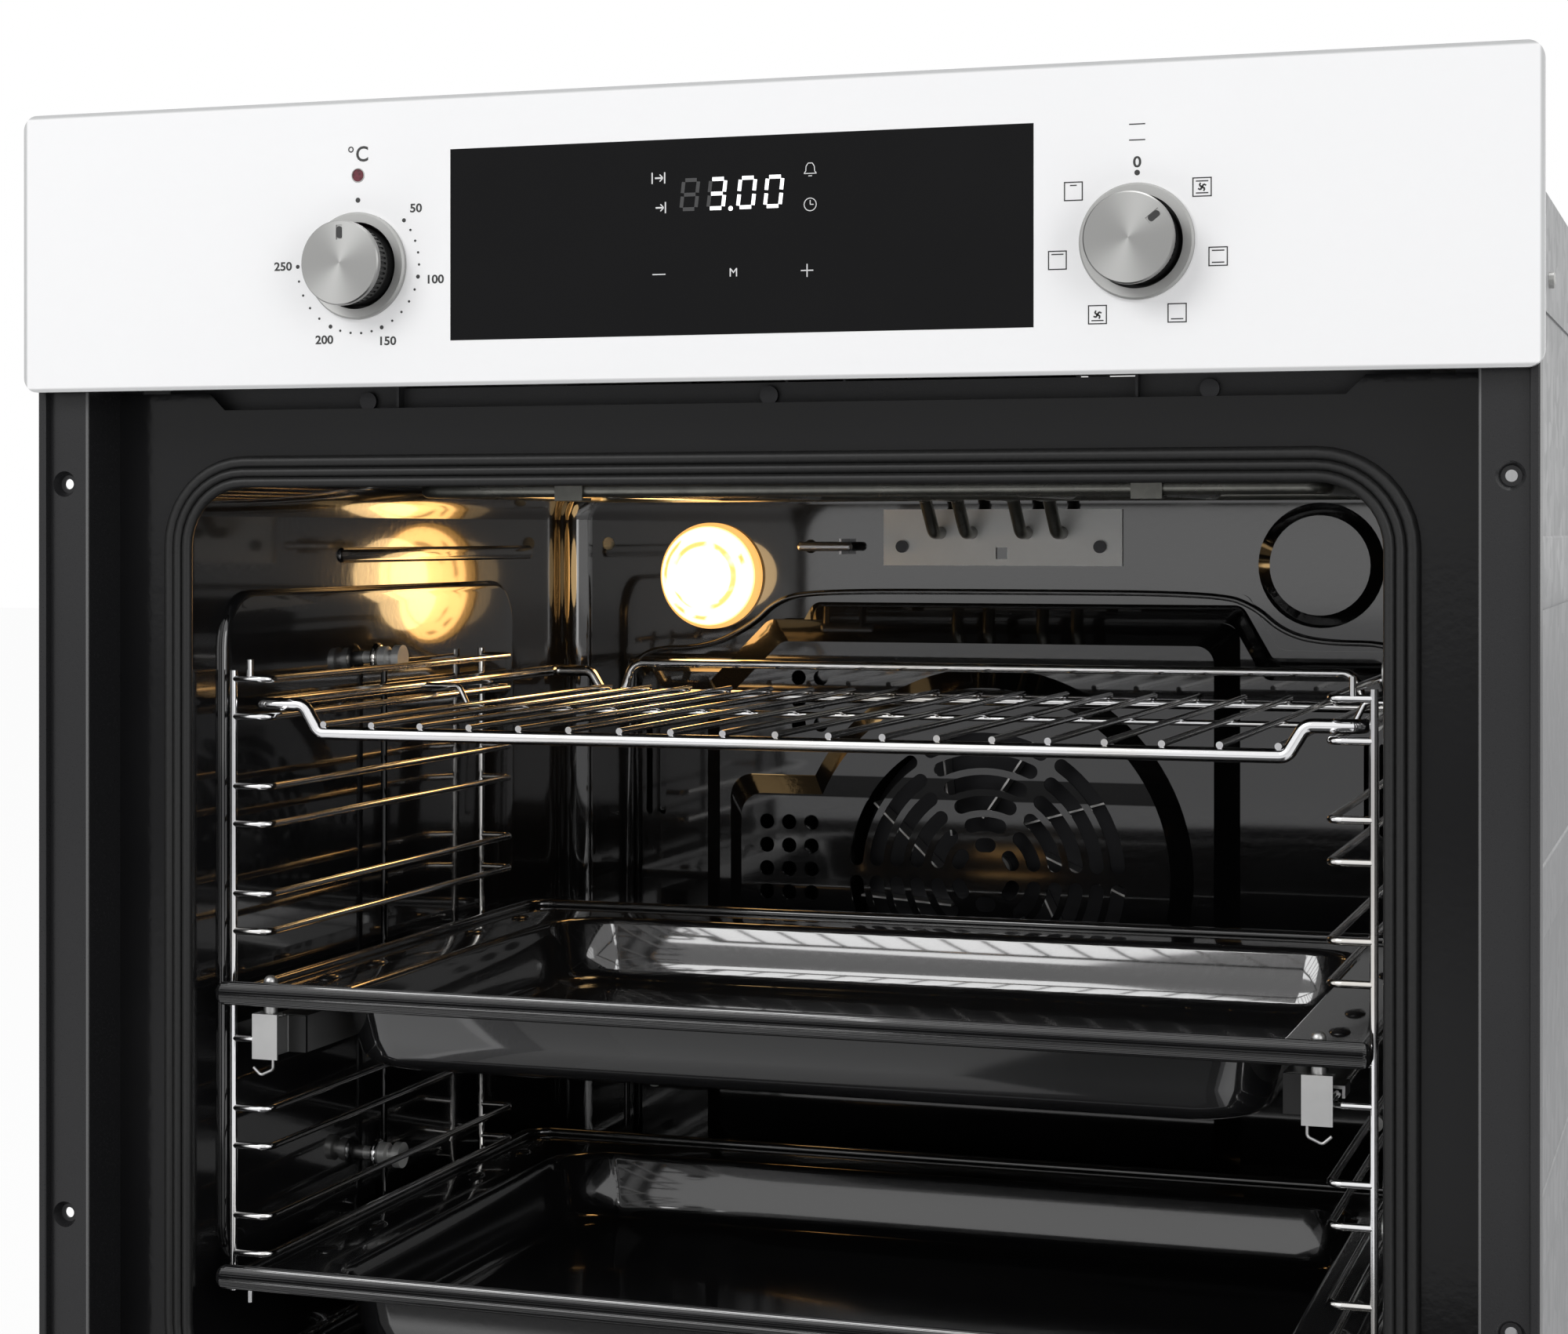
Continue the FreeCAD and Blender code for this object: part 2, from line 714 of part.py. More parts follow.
def ladder():
    """Right-hand chromed wire ladder: outer frame, paired shelf rails and fixing eyes."""
    heights = []
    for level in range(rail_levels):
        heights += [rail_height(level, False), rail_height(level, True)]
    heights.append(lower_rail_z)
    wires = []
    for z in heights:
        wires.append(bent_rod([(ladder_x, ladder_front, z), (rail_x, ladder_front, z),
                               (rail_x, ladder_rear, z), (ladder_x, ladder_rear, z)],
                              ladder_bend, wire_r))
    top, bottom = top_rail_z + wire_r, lower_rail_z - wire_r
    for y in (ladder_front, ladder_rear):
        wires.append(rod((ladder_x, y, bottom - 2), (ladder_x, y, top + 2), wire_r + 0.1))
    eye_r = stud_r + wire_r + 0.6
    middle_y = stud_y + eye_r + wire_r
    wires.append(rod((ladder_x, middle_y, bottom - 2), (ladder_x, middle_y, stud_z_top + 4), wire_r))
    for z, rise in ((heights[0], 8), (heights[-1], -8)):
        wires.append(rod((rail_x, middle_y, z), (ladder_x, middle_y, z), wire_r - 0.1))
        stub_x = rail_x + stub_offset
        wires.append(rod((stub_x, ladder_front, z), (stub_x, ladder_front, z + rise), wire_r - 0.2))
    for z in (stud_z_low, stud_z_top):
        wires.append(Part.makeTorus(eye_r, wire_r, V(ladder_x, stud_y, z), V(1, 0, 0)))
    return union(wires)


def ladder_nuts():
    """Threaded studs through the cavity wall with grooved thumb nuts that clamp the ladders."""
    made = []
    for z in (stud_z_low, stud_z_top):
        stud = rod((cavity_half + enamel + 8, stud_y, z), (ladder_x - 10, stud_y, z), stud_r)
        head = rod((cavity_half + enamel, stud_y, z), (cavity_half + enamel + 4, stud_y, z), stud_r + 3)
        washer = rod((cavity_half - 3, stud_y, z), (cavity_half, stud_y, z), stud_r + 2.5)
        nut_start = ladder_x - wire_r - clear
        length = thumb_nut_length
        nut = turned([(0, 0), (thumb_nut_r, 0), (thumb_nut_r, 3.5), (thumb_nut_r - 1.6, 4.3),
                      (thumb_nut_r - 1.6, length - 4.4), (thumb_nut_r + 0.6, length - 3.6),
                      (thumb_nut_r + 0.6, length), (0, length)],
                     (nut_start, stud_y, z), (-1, 0, 0))
        made.append(union([stud, head, washer, nut]))
    return made


def wire_rack():
    """Chromed shelf: thick frame wire dropped between its ends, thin wires and a rear guard."""
    side_z = rail_height(0, True) + wire_r + rack_r + clear
    grid_z = side_z - rack_drop
    shoulder = rack_half - rack_step_in
    middle = (rack_front + rack_rear) / 2
    bend = 7.0
    frame = []
    for y in (rack_front, rack_rear):
        frame.append(bent_rod([(-rack_half, middle, side_z), (-rack_half, y, side_z),
                               (-shoulder, y, side_z), (-shoulder + 7, y, grid_z),
                               (shoulder - 7, y, grid_z), (shoulder, y, side_z),
                               (rack_half, y, side_z), (rack_half, middle, side_z)], bend * 0.7, rack_r))
    wire_z = grid_z + rack_r + rack_wire_r - 0.5
    for i in range(rack_wires):
        x = (i - (rack_wires - 1) / 2) * rack_pitch
        frame.append(rod((x, rack_front - 1.8, wire_z), (x, rack_rear + 2.4, wire_z), rack_wire_r))
    cross_z = wire_z - rack_wire_r - rack_wire_r + 0.4
    frame.append(rod((-shoulder + 8, middle, cross_z), (shoulder - 8, middle, cross_z), rack_wire_r))
    cross_end = shoulder - 9
    for side in SIDES:
        frame.append(bent_rod([(side * cross_end, middle, cross_z),
                               (side * (cross_end + 6), middle, cross_z),
                               (side * (cross_end + 11), middle, side_z),
                               (side * rack_half, middle, side_z)], 2.5, rack_wire_r))
    guard_z = grid_z + guard_rise
    frame.append(bent_rod([(-guard_half - 5, rack_rear, grid_z), (-guard_half, rack_rear + 1, guard_z),
                           (guard_half, rack_rear + 1, guard_z), (guard_half + 5, rack_rear, grid_z)],
                          8.0, guard_r))
    return union(frame)


def pan(z_top, grow):
    """The tray's pan as a solid, grown by the sheet for its outside."""
    wires = []
    for drop, inset in ((0.0, 0.0), (pan_depth + grow, pan_slope)):
        half = pan_half + grow - inset
        y0, y1 = pan_front - grow + inset, pan_back + grow - inset
        z = z_top - drop
        corner = pan_corner_r + grow - inset * 0.4
        wires.append(filleted_outline([(-half, y0, z), (half, y0, z), (half, y1, z), (-half, y1, z)], corner))
    return Part.makeLoft(wires, True, True)


def tray(rail_z):
    """Enamelled baking tray: pan, flat flange on the rails, rolled edge and thick front lip."""
    z0 = rail_z + wire_r + clear
    z1 = z0 + tray_sheet
    y0, y1 = flange_front_y, flange_back_y
    edge = filleted_outline([(-flange_half, y0, z0), (flange_half, y0, z0),
                             (flange_half, y1, z0), (-flange_half, y1, z0)], 12.0)
    flange = Part.Face(edge).extrude(V(0, 0, tray_sheet))
    roll_path = filleted_outline([(-flange_half, y0, z0 + tray_roll_r), (flange_half, y0, z0 + tray_roll_r),
                                  (flange_half, y1, z0 + tray_roll_r), (-flange_half, y1, z0 + tray_roll_r)],
                                 12.0)
    start = roll_path.Edges[-1].valueAt(roll_path.Edges[-1].FirstParameter)
    heading = roll_path.Edges[-1].tangentAt(roll_path.Edges[-1].FirstParameter)
    ordered = Part.Wire([roll_path.Edges[-1]] + roll_path.Edges[:-1])
    profile = Part.Wire(Part.makeCircle(tray_roll_r, start, heading))
    roll = Part.Solid(ordered.makePipeShell([profile], True, False))
    lip_z = z0 + tray_lip_r - 0.8
    lip = rounded_rod((-tray_lip_half, y0, lip_z), (tray_lip_half, y0, lip_z), tray_lip_r)
    body = union([flange, pan(z1, tray_sheet), roll, lip]).cut(pan(z1 + 0.001, 0.0))
    for side in SIDES:
        body = body.cut(rod((side * pin_x, pin_y, z0 - 6), (side * pin_x, pin_y, z0 + 6), pin_r + 0.6))
    return body


upper_rail_z = rail_height(upper_level, False)
runner_top = upper_rail_z - 5.0
runner_bottom = runner_top - runner_height


def runner_rail():
    """Fixed C-channel of the right-hand telescopic runner, hooked over the lower rail wire."""
    x1 = rail_x - wire_r - clear
    x0 = x1 - 3.4
    y0, y1 = runner_front, runner_front + runner_length
    wall = runner_wall
    parts = [box(x1 - wall, x1, y0, y1, runner_bottom, runner_top),
             box(x0, x1, y0, y1, runner_bottom, runner_bottom + wall),
             box(x0, x1, y0, y1, runner_top - wall, runner_top)]
    hook_z = rail_height(upper_level, True) + wire_r + clear
    for y in (y0 + 20, ladder_rear - 40):
        parts.append(box(x1, rail_x + wire_r + 1.4, y, y + 14, hook_z, hook_z + 1.2))
        parts.append(box(rail_x + wire_r + clear, rail_x + wire_r + 1.4, y, y + 14,
                         hook_z - 3.5, hook_z + 1.2))
    return union(parts)


def runner_middle():
    """Middle bar of the right-hand runner, held between the two channels."""
    x1 = rail_x - wire_r - clear - runner_wall - 0.35
    gap = runner_wall + 0.4
    bar = box(x1 - 3.9, x1, runner_front, runner_front + runner_length,
              runner_bottom + gap, runner_top - gap)
    return bar


def runner_slide():
    """Moving channel of the right-hand runner with end plate, hook, tray rests and pin."""
    x0 = runner_inner
    x1 = rail_x - wire_r - clear - 3.4 - 0.4
    wall = runner_wall
    y0, y1 = pin_y - pin_r - 2.4, runner_front + runner_length
    plate_x = pin_x + pin_r + 3
    web_x = pin_x - pin_r - 2.8
    link_y = runner_front - 2 * wall
    hook_y = y0 + 0.6
    parts = [box(x0, x0 + wall, link_y, y1, runner_bottom, runner_top),
             box(x0, x1, runner_front, y1, runner_bottom, runner_bottom + wall),
             box(x0, x1, runner_front, y1, runner_top - wall, runner_top),
             box(x0, web_x + wall, link_y, link_y + wall, runner_bottom, runner_top),
             box(web_x, web_x + wall, y0, link_y + wall, runner_bottom, runner_top),
             box(web_x, plate_x, y0, y0 + wall, runner_bottom - 2, runner_top + 1.5),
             box(pin_x - 4, plate_x, y0, pin_y + pin_r, runner_top + 0.5, runner_top + 1.5),
             bent_rod([(pin_x - 3.5, hook_y, runner_bottom - 1.6), (pin_x - 3.5, hook_y, runner_bottom - 6),
                       (pin_x + 2, hook_y, runner_bottom - 8.5), (pin_x + 5.4, hook_y, runner_bottom - 5.5)],
                      1.6, 0.6),
             rounded_rod((pin_x, pin_y, runner_top - 2),
                         (pin_x, pin_y, upper_rail_z + pin_top + pin_r), pin_r)]
    rest_top = upper_rail_z + wire_r
    for y in (runner_front + 30, y1 - 40):
        parts.append(box(x0, x0 + 3.4, y, y + 16, runner_top - wall, rest_top))
    return union(parts)


# ---------- back of the cavity ----------
def baffle_outline(y, inset):
    """Outline of the fan cover; its top steps down at both ends, clear of lamp and blank."""
    x0, x1 = -baffle_half + inset, baffle_half - inset
    low, high = baffle_bottom + abs(inset), baffle_crown - inset
    shoulder = baffle_shoulder - inset
    slope = 16.0
    inner_left, inner_right = baffle_crown_x0 + inset * 0.4, baffle_crown_x1 - inset * 0.4
    points = [(x0, y, low), (x1, y, low), (x1, y, shoulder), (inner_right + slope, y, shoulder),
              (inner_right, y, high), (inner_left, y, high), (inner_left - slope, y, shoulder),
              (x0, y, shoulder)]
    return filleted_outline(points, 7.0)


def plateau_outline(y, inset):
    """Outline of the fan cover's raised middle; it keeps the slope of the cover's top edge."""
    x0, x1 = plateau_x0 - plateau_draft + inset, plateau_x1 + plateau_draft - inset
    low, high = baffle_bottom + baffle_step_draft + inset, baffle_crown - baffle_step_draft - inset
    notch = plateau_notch
    points = [(x0, y, low), (x1, y, low), (x1, y, high), (x0 + notch, y, high),
              (x0, y, high - notch)]
    return filleted_outline(points, 9.0)


def arc_slot(radius, start, end, y0, y1):
    """Slot of the fan grille: a ring sector with round ends, angles in degrees."""
    outer, inner = radius, radius - grille_slot
    centre = radius - grille_slot / 2
    round_end = grille_slot / 2 / centre
    a0, a1 = math.radians(start) + round_end, math.radians(end) - round_end
    middle = (a0 + a1) / 2

    def at(r, a):
        return V(fan_x + r * math.cos(a), y0, fan_z + r * math.sin(a))

    edges = [Part.Arc(at(outer, a0), at(outer, middle), at(outer, a1)).toShape(),
             Part.Arc(at(outer, a1), at(centre, a1 + round_end), at(inner, a1)).toShape(),
             Part.Arc(at(inner, a1), at(inner, middle), at(inner, a0)).toShape(),
             Part.Arc(at(inner, a0), at(centre, a0 - round_end), at(outer, a0)).toShape()]
    return slab(Part.Wire(edges), y1 - y0)


def grille_slots():
    cutters = []
    y0, y1 = baffle_face - disc_rise - 3, baffle_face + 3
    for k in range(grille_rings):
        radius = grille_r - k * grille_ring_pitch
        middle = radius - grille_slot / 2
        for sector in range(6):
            web = math.degrees(grille_spoke / 2 / middle)
            start, end = sector * 60 + web, sector * 60 + 60 - web
            cutters.append(arc_slot(radius, start, end, y0, y1))
    for column in range(3):
        for row in range(5):
            x = side_holes_x + air_hole_pitch * column
            z = side_holes_z - air_hole_pitch * row
            cutters.append(hole_y(x, z, air_hole_r, y0, y1))
    for column in range(2):
        for row in range(3):
            x = upper_holes_x + air_hole_pitch * column
            z = upper_holes_z - air_hole_pitch * row
            cutters.append(hole_y(x, z, air_hole_r, y0, y1))
    return cutters


def upright_slot(x):
    """Round-ended vertical slot through the fan cover's flank."""
    y0, y1 = baffle_step - 2, baffle_step + 3
    z0, z1 = side_slot_z
    ends = [hole_y(x, z, side_slot_r, y0, y1) for z in side_slot_z]
    return union([box(x - side_slot_r, x + side_slot_r, y0, y1, z0, z1)] + ends)


def rear_baffle():
    """Pressed fan cover: sloping rim to the back wall, flat face with grille and air holes."""
    outer = Part.makeLoft([baffle_outline(cavity_back, 0.0),
                           baffle_outline(baffle_step, baffle_step_draft)], True, True)
    inner = Part.makeLoft([baffle_outline(cavity_back + 0.001, enamel),
                           baffle_outline(baffle_step + enamel, baffle_step_draft + enamel / 2)], True, True)
    plateau = Part.makeLoft([plateau_outline(baffle_step, 0.0),
                             plateau_outline(baffle_face, plateau_draft)], True, True)
    plateau_hollow = Part.makeLoft([plateau_outline(baffle_step + enamel, enamel / 2),
                                    plateau_outline(baffle_face + enamel, plateau_draft + enamel / 2)],
                                   True, True)
    disc = turned([(0, 0), (disc_foot_r, 0), (disc_r, disc_rise), (0, disc_rise)],
                  (fan_x, baffle_face, fan_z), (0, -1, 0))
    pad = Part.makeLoft([rectangle(pad_half, pad_z0, pad_z1, pad_corner_r, baffle_face, pad_x),
                         rectangle(pad_half - disc_rise, pad_z0 + disc_rise, pad_z1 - disc_rise,
                                   pad_corner_r, baffle_face - disc_rise, pad_x)], True, True)
    under = baffle_face + enamel
    pad_hollow = Part.makeLoft([rectangle(pad_half - enamel / 2, pad_z0 + enamel / 2, pad_z1 - enamel / 2,
                                          pad_corner_r, under, pad_x),
                                rectangle(pad_half - enamel / 2 - disc_rise, pad_z0 + enamel / 2 + disc_rise,
                                          pad_z1 - enamel / 2 - disc_rise, pad_corner_r,
                                          under - disc_rise, pad_x)], True, True)
    hollow = turned([(0, -1), (disc_foot_r - enamel / 2, -1), (disc_foot_r - enamel / 2, 0),
                     (disc_r - enamel / 2, disc_rise), (0, disc_rise)],
                    (fan_x, baffle_face + enamel, fan_z), (0, -1, 0))
    flange = slab(baffle_outline(cavity_back - enamel, -baffle_flange), enamel)
    cover = union([outer, flange, plateau, disc, pad])
    for space in (inner, plateau_hollow, hollow, pad_hollow):
        cover = cover.cut(space)
    cover = cover.cut(Part.makeCompound(grille_slots()))
    for side in SIDES:
        for z in baffle_screw_z:
            cover = cover.cut(hole_y(side * baffle_screw_x, z, 2.2, baffle_step - 2, baffle_step + 3))
        for x in side_slot_x:
            cover = cover.cut(upright_slot(side * x))
    return cover


def convection_fan_wheel():
    """Fan wheel behind the cover: hub disc, flat blades, shaft and its front nut."""
    y_back = cavity_back - 3.5
    y_front = baffle_face + enamel + 2.5
    disc = hole_y(fan_x, fan_z, fan_r, y_back - 1, y_back)
    shaft = hole_y(fan_x, fan_z, fan_shaft_r, y_front - 1, cavity_back + enamel + wool_back + 24)
    nut = hole_y(fan_x, fan_z, 7.5, y_back - 7, y_back)
    parts = [disc, shaft, nut]
    for i in range(fan_blades):
        blade = box(24, fan_r, y_front, y_back, -0.5, 0.5)
        blade.rotate(V(47, 0, 0), BACKWARD, 24)
        blade.rotate(V(0, 0, 0), BACKWARD, 360.0 * i / fan_blades)
        blade.translate(V(fan_x, 0, fan_z))
        parts.append(blade)
    return union(parts)


def convection_fan_motor():
    """Shaded-pole motor behind the insulation on a sleeve from the cavity's back wall."""
    wall = cavity_back + enamel
    y0 = wall + wool_back + 2
    sleeve = hole_y(fan_x, fan_z, 12.0, wall, y0)
    can = hole_y(fan_x, fan_z, 34.0, y0, y0 + 42)
    stator = box(fan_x - 42, fan_x + 42, y0 + 8, y0 + 26, fan_z - 38, fan_z + 38)
    legs = []
    for side in SIDES:
        legs.append(box(fan_x + side * 50 - 8, fan_x + side * 50 + 8, y0, y0 + 2, fan_z - 8, fan_z + 8))
        legs.append(box(min(fan_x, fan_x + side * 50), max(fan_x, fan_x + side * 50),
                        y0, y0 + 2, fan_z - 6, fan_z + 6))
    motor = union([sleeve, can, stator] + legs)
    return motor.cut(hole_y(fan_x, fan_z, fan_shaft_r + fan_shaft_fit, wall - 1,
                            wall + wool_back + 24 + clear))


def lamp_holder():
    """Ceramic lamp socket in the back wall with its spring collar."""
    wall = cavity_back + enamel
    collar = hole_y(lamp_x, lamp_z, lamp_glass_r - 1, wall, wall + 1.5)
    cup = hole_y(lamp_x, lamp_z, lamp_glass_r - 4.4, cavity_back, wall + 40)
    holder = collar.fuse(cup)
    return holder.cut(hole_y(lamp_x, lamp_z, lamp_glass_r - 6, cavity_back - 2, wall + 32))


def lamp_bulb():
    """Small pear-shaped oven bulb."""
    y = cavity_back + enamel + 32
    wall = [(0, 0), (7, 0), (7, 11), (11.5, 15.5), (13, 21), (11.5, 27), (7.5, 32), (3, 34), (0, 34)]
    return turned(wall, (lamp_x, y, lamp_z), (0, -1, 0))


def lamp_glass():
    """Domed heat-resistant glass screwed over the bulb."""
    rim = lamp_glass_r
    depth = 17.0
    skirt_r = lamp_glass_r - 6.3
    wall = [(skirt_r, -9), (skirt_r, 0), (rim, 0), (rim, 4), (rim - 4, 11), (rim - 12, 15.5),
            (5, depth), (0, depth), (0, depth - 2.5), (5, depth - 2.5), (rim - 13.5, 13),
            (skirt_r - 1, 9), (skirt_r - 2, 3), (skirt_r - 2, -9)]
    return turned(wall, (lamp_x, cavity_back - 0.2, lamp_z), (0, -1, 0))


def temperature_probe():
    """Thermostat bulb on its bracket in front of the back wall, with its tube going back."""
    y = cavity_back - 13.0
    bulb = rounded_rod((probe_x0 - 3, y, probe_z), (probe_x1 + 4, y, probe_z), 2.4)
    bracket = box(probe_x1 - 3, probe_x1 - 1.8, y, cavity_back, probe_z - 4, probe_z + 4)
    stem = rod((probe_x0, y, probe_z), (probe_x0, cavity_back + enamel + wool_back + 8, probe_z), 1.6)
    return union([bulb, bracket, stem])


def roof_heater(leads, half, front, rear, folds):
    """Tubular element under the ceiling, fed from two leads in the back wall."""
    y_wall = cavity_back + enamel + 12
    y_drop = cavity_back - 24
    z0, z1 = heater_z, heater_ceiling_z
    left, right = leads
    points = [(left, y_wall, z0), (left, y_drop + 10, z0), (left, y_drop - 8, z1), (left, rear, z1),
              (-half, rear, z1), (-half, front, z1)]
    points += folds
    points += [(half, front, z1), (half, rear, z1), (right, rear, z1), (right, y_drop - 8, z1),
               (right, y_drop + 10, z0), (right, y_wall, z0)]
    return bent_rod(points, 8.0, heater_r)


def grill_heater():
    z = heater_ceiling_z
    front = heater_front + 43.0
    folds = [(-62, front, z), (-62, 300, z), (62, 300, z), (62, front, z)]
    return roof_heater(grill_heater_x, 124.0, front, 330.0, folds)


def top_heater():
    return roof_heater(top_heater_x, 200.0, heater_front, 360.0, [])


def heater_flange():
    """Plated steel flange that carries both roof elements on the back wall."""
    plate = box(plate_x0, plate_x1, cavity_back - 1.5, cavity_back, plate_z0, plate_z1)
    for x in top_heater_x + grill_heater_x:
        plate = plate.cut(hole_y(x, heater_z, heater_r + 0.05, cavity_back - 3, cavity_back + 1))
    square_x = (plate_x0 + plate_x1) / 2
    return plate.cut(box(square_x - 3, square_x + 3, cavity_back - 3, cavity_back + 1,
                         plate_z0 + 3.4, plate_z0 + 9.4))


def heater_clips():
    """Strips hung from the ceiling that hold the front runs of the roof elements."""
    clips = []
    wall = 1.2
    low = heater_ceiling_z - heater_r - clear - wall
    front = heater_front - heater_r - clear - wall
    for x in clip_x:
        x0, x1 = x - 6.5, x + 6.5
        hanger = union([box(x0, x1, front, front + wall, low, cavity_ceiling),
                        box(x0, x1, front, heater_front + 6, low, low + wall),
                        box(x0, x1, front - 6, front + wall, cavity_ceiling - wall, cavity_ceiling)])
        clips.append(hanger)
    return Part.makeCompound(clips)


def bottom_heater():
    """Tubular element in the gap under the cavity floor."""
    z = bottom_heater_z
    left, right = bottom_heater_x
    tail = cavity_back + enamel + wool_back + 8
    points = [(left, tail, z), (left, 380, z), (-170, 380, z), (-170, 60, z), (-70, 60, z),
              (-70, 320, z), (70, 320, z), (70, 60, z), (170, 60, z), (170, 380, z), (right, 380, z),
              (right, tail, z)]
    return bent_rod(points, 14.0, heater_r)


# ---------- cooling fan ----------
duct_floor = cavity_ceiling + enamel + wool_top
duct_roof = duct_floor + duct_height


def cooling_fan_housing():
    """Sheet scroll and duct that blow cooling air out under the control panel."""
    y_front = recess_y + enamel + sheet
    outer = union([box(-duct_half, duct_half, y_front, blower_y, duct_floor, duct_roof),
                   rod((0, blower_y, duct_floor), (0, blower_y, duct_roof), blower_r)])
    wall = 1.0
    inner = union([box(-duct_half + wall, duct_half - wall, y_front - 1, blower_y, duct_floor + wall,
                       duct_roof - wall),
                   rod((0, blower_y, duct_floor + wall), (0, blower_y, duct_roof - wall), blower_r - wall)])
    inlet = rod((0, blower_y, duct_roof - 2), (0, blower_y, duct_roof + 1), 46.0)
    front = box(-channel_half, channel_half, channel_y, channel_y + wall, duct_floor, duct_floor + 20)
    foot = box(-channel_half, channel_half, channel_y, channel_y + 14, duct_floor, duct_floor + wall)
    mouth = box(-duct_half + wall, duct_half - wall, y_front - 1, blower_y,
                channel_screw_z + 5, duct_roof - wall)
    return union([outer.cut(inner).cut(inlet), front.cut(mouth), foot])


def cooling_fan_wheel():
    """Radial blower wheel with curved-in blades, on the motor's shaft."""
    z0 = duct_floor + 3.5
    z1 = duct_roof - 4.5
    disc = rod((0, blower_y, z0), (0, blower_y, z0 + 1), blower_wheel_r)
    top_ring = rod((0, blower_y, z1 - 1), (0, blower_y, z1), blower_wheel_r)
    top_ring = top_ring.cut(rod((0, blower_y, z1 - 2), (0, blower_y, z1 + 1), 50.0))
    shaft = rod((0, blower_y, z0), (0, blower_y, duct_roof + 16), 3.0)
    parts = [disc, top_ring, shaft]
    blades = 16
    for i in range(blades):
        blade = box(50.5, blower_wheel_r - 0.5, -0.5, 0.5, z0, z1)
        blade.rotate(V(60, 0, 0), Z_UP, 30)
        blade.rotate(V(0, 0, 0), Z_UP, 360.0 * i / blades)
        blade.translate(V(0, blower_y, 0))
        parts.append(blade)
    return union(parts)


def cooling_fan_motor():
    """Motor on a bridge across the blower's inlet."""
    z0 = duct_roof
    bridge = [box(-66, 66, blower_y - 9, blower_y + 9, z0 + 9, z0 + 10.2)]
    for side in SIDES:
        x = side * 60
        bridge.append(box(x - 6, x + 6, blower_y - 9, blower_y + 9, z0, z0 + 9.6))
    can = rod((0, blower_y, z0 + 9.6), (0, blower_y, z0 + 36), 27.0)
    stack = box(-31, 31, blower_y - 26, blower_y + 26, z0 + 14, z0 + 28)
    motor = union(bridge + [can, stack])
    return motor.cut(rod((0, blower_y, z0 - 1), (0, blower_y, z0 + 16 + clear), 3.0 + fan_shaft_fit))


def screws():
    """Pan-head screws: four in the fan cover, two in the heater flange, three in the air channel."""
    made = []
    for side in SIDES:
        for z in baffle_screw_z:
            x = side * baffle_screw_x
            head = hole_y(x, z, 4.2, baffle_step - 2.6, baffle_step)
            made.append(head.fuse(hole_y(x, z, 1.9, baffle_step - 1, cavity_back + enamel)))
    for x in (plate_x0 + 10.2, plate_x1 - 11.3):
        head = hole_y(x, probe_z, 3.2, cavity_back - 3.6, cavity_back - 1.5)
        made.append(head)
    for x in channel_screw_x:
        made.append(hole_y(x, channel_screw_z, 3.6, channel_y - 2.0, channel_y))
    return Part.makeCompound(made)


# ---------- door, drawn shut and then swung open ----------
door_top = panel_bottom - door_gap
door_inner_y = gasket_front - clear


def swung_open(shape):
    """Turns a door piece from its shut place to fully open, about the hinge pins."""
    shape = shape.copy()
    shape.rotate(V(0, pivot_y, pivot_z), V(1, 0, 0), 90)
    return shape


def door_outer_glass():
    return slab(rectangle(front_width / 2, door_bottom, door_top, panel_corner_r, panel_front), glass)


def door_side_rail():
    """Right-hand steel channel of the door, hollow for the hinge arm."""
    x0, x1 = door_half - door_rail_width, door_half
    z0, z1 = door_bottom + 18, door_top - 20
    rail = box(x0, x1, door_pack_y, door_inner_y, z0, z1)
    hollow = box(x0 + 2, x1 - 2, door_pack_y + 3, door_inner_y - 3, z0 - 1, z1 - 30)
    return rail.cut(hollow)


def door_top_rail():
    """Vented top bar of the door."""
    bar = box(-door_half, door_half, door_pack_y, door_inner_y, door_top - 20, door_top - 3)
    for i in range(-10, 11):
        slot_x = i * 22.0
        bar = bar.cut(box(slot_x - 7, slot_x + 7, door_pack_y + 6, door_inner_y - 6,
                          door_top - 21, door_top - 2))
    return bar


def door_bottom_rail():
    """Bottom bar of the door, cut away where the hinge arms come out."""
    bar = box(-door_half, door_half, door_pack_y, door_inner_y, door_bottom, door_bottom + 18)
    for side in SIDES:
        x = side * hinge_x
        bar = bar.cut(box(x - 6.8, x + 6.8, door_pack_y + 3, door_inner_y - 3,
                          door_bottom - 1, door_bottom + 19))
    return bar


def door_middle_glass():
    inner = door_half - door_rail_width
    return box(-inner, inner, -7, -3, door_bottom + 18, door_top - 20)


def door_inner_glass():
    """Innermost pane with two rubber-footed clips' worth of margin to the rails."""
    inner = door_half - door_rail_width
    return box(-inner, inner, door_inner_y - 4.5, door_inner_y - 0.5, door_bottom + 18, door_top - 20)


def door_handle_bar():
    z = door_top - handle_drop
    y = panel_front - handle_out
    bar = rod((-handle_half, y, z), (handle_half, y, z), handle_r)
    return bar


def door_handle_post():
    """Right-hand standoff between the handle bar and the glass."""
    z = door_top - handle_drop
    post = hole_y(handle_post_x, z, 5.5, panel_front - handle_out + handle_r - 1.0, panel_front)
    return post.cut(rod((handle_post_x - 10, panel_front - handle_out, z),
                        (handle_post_x + 10, panel_front - handle_out, z), handle_r))


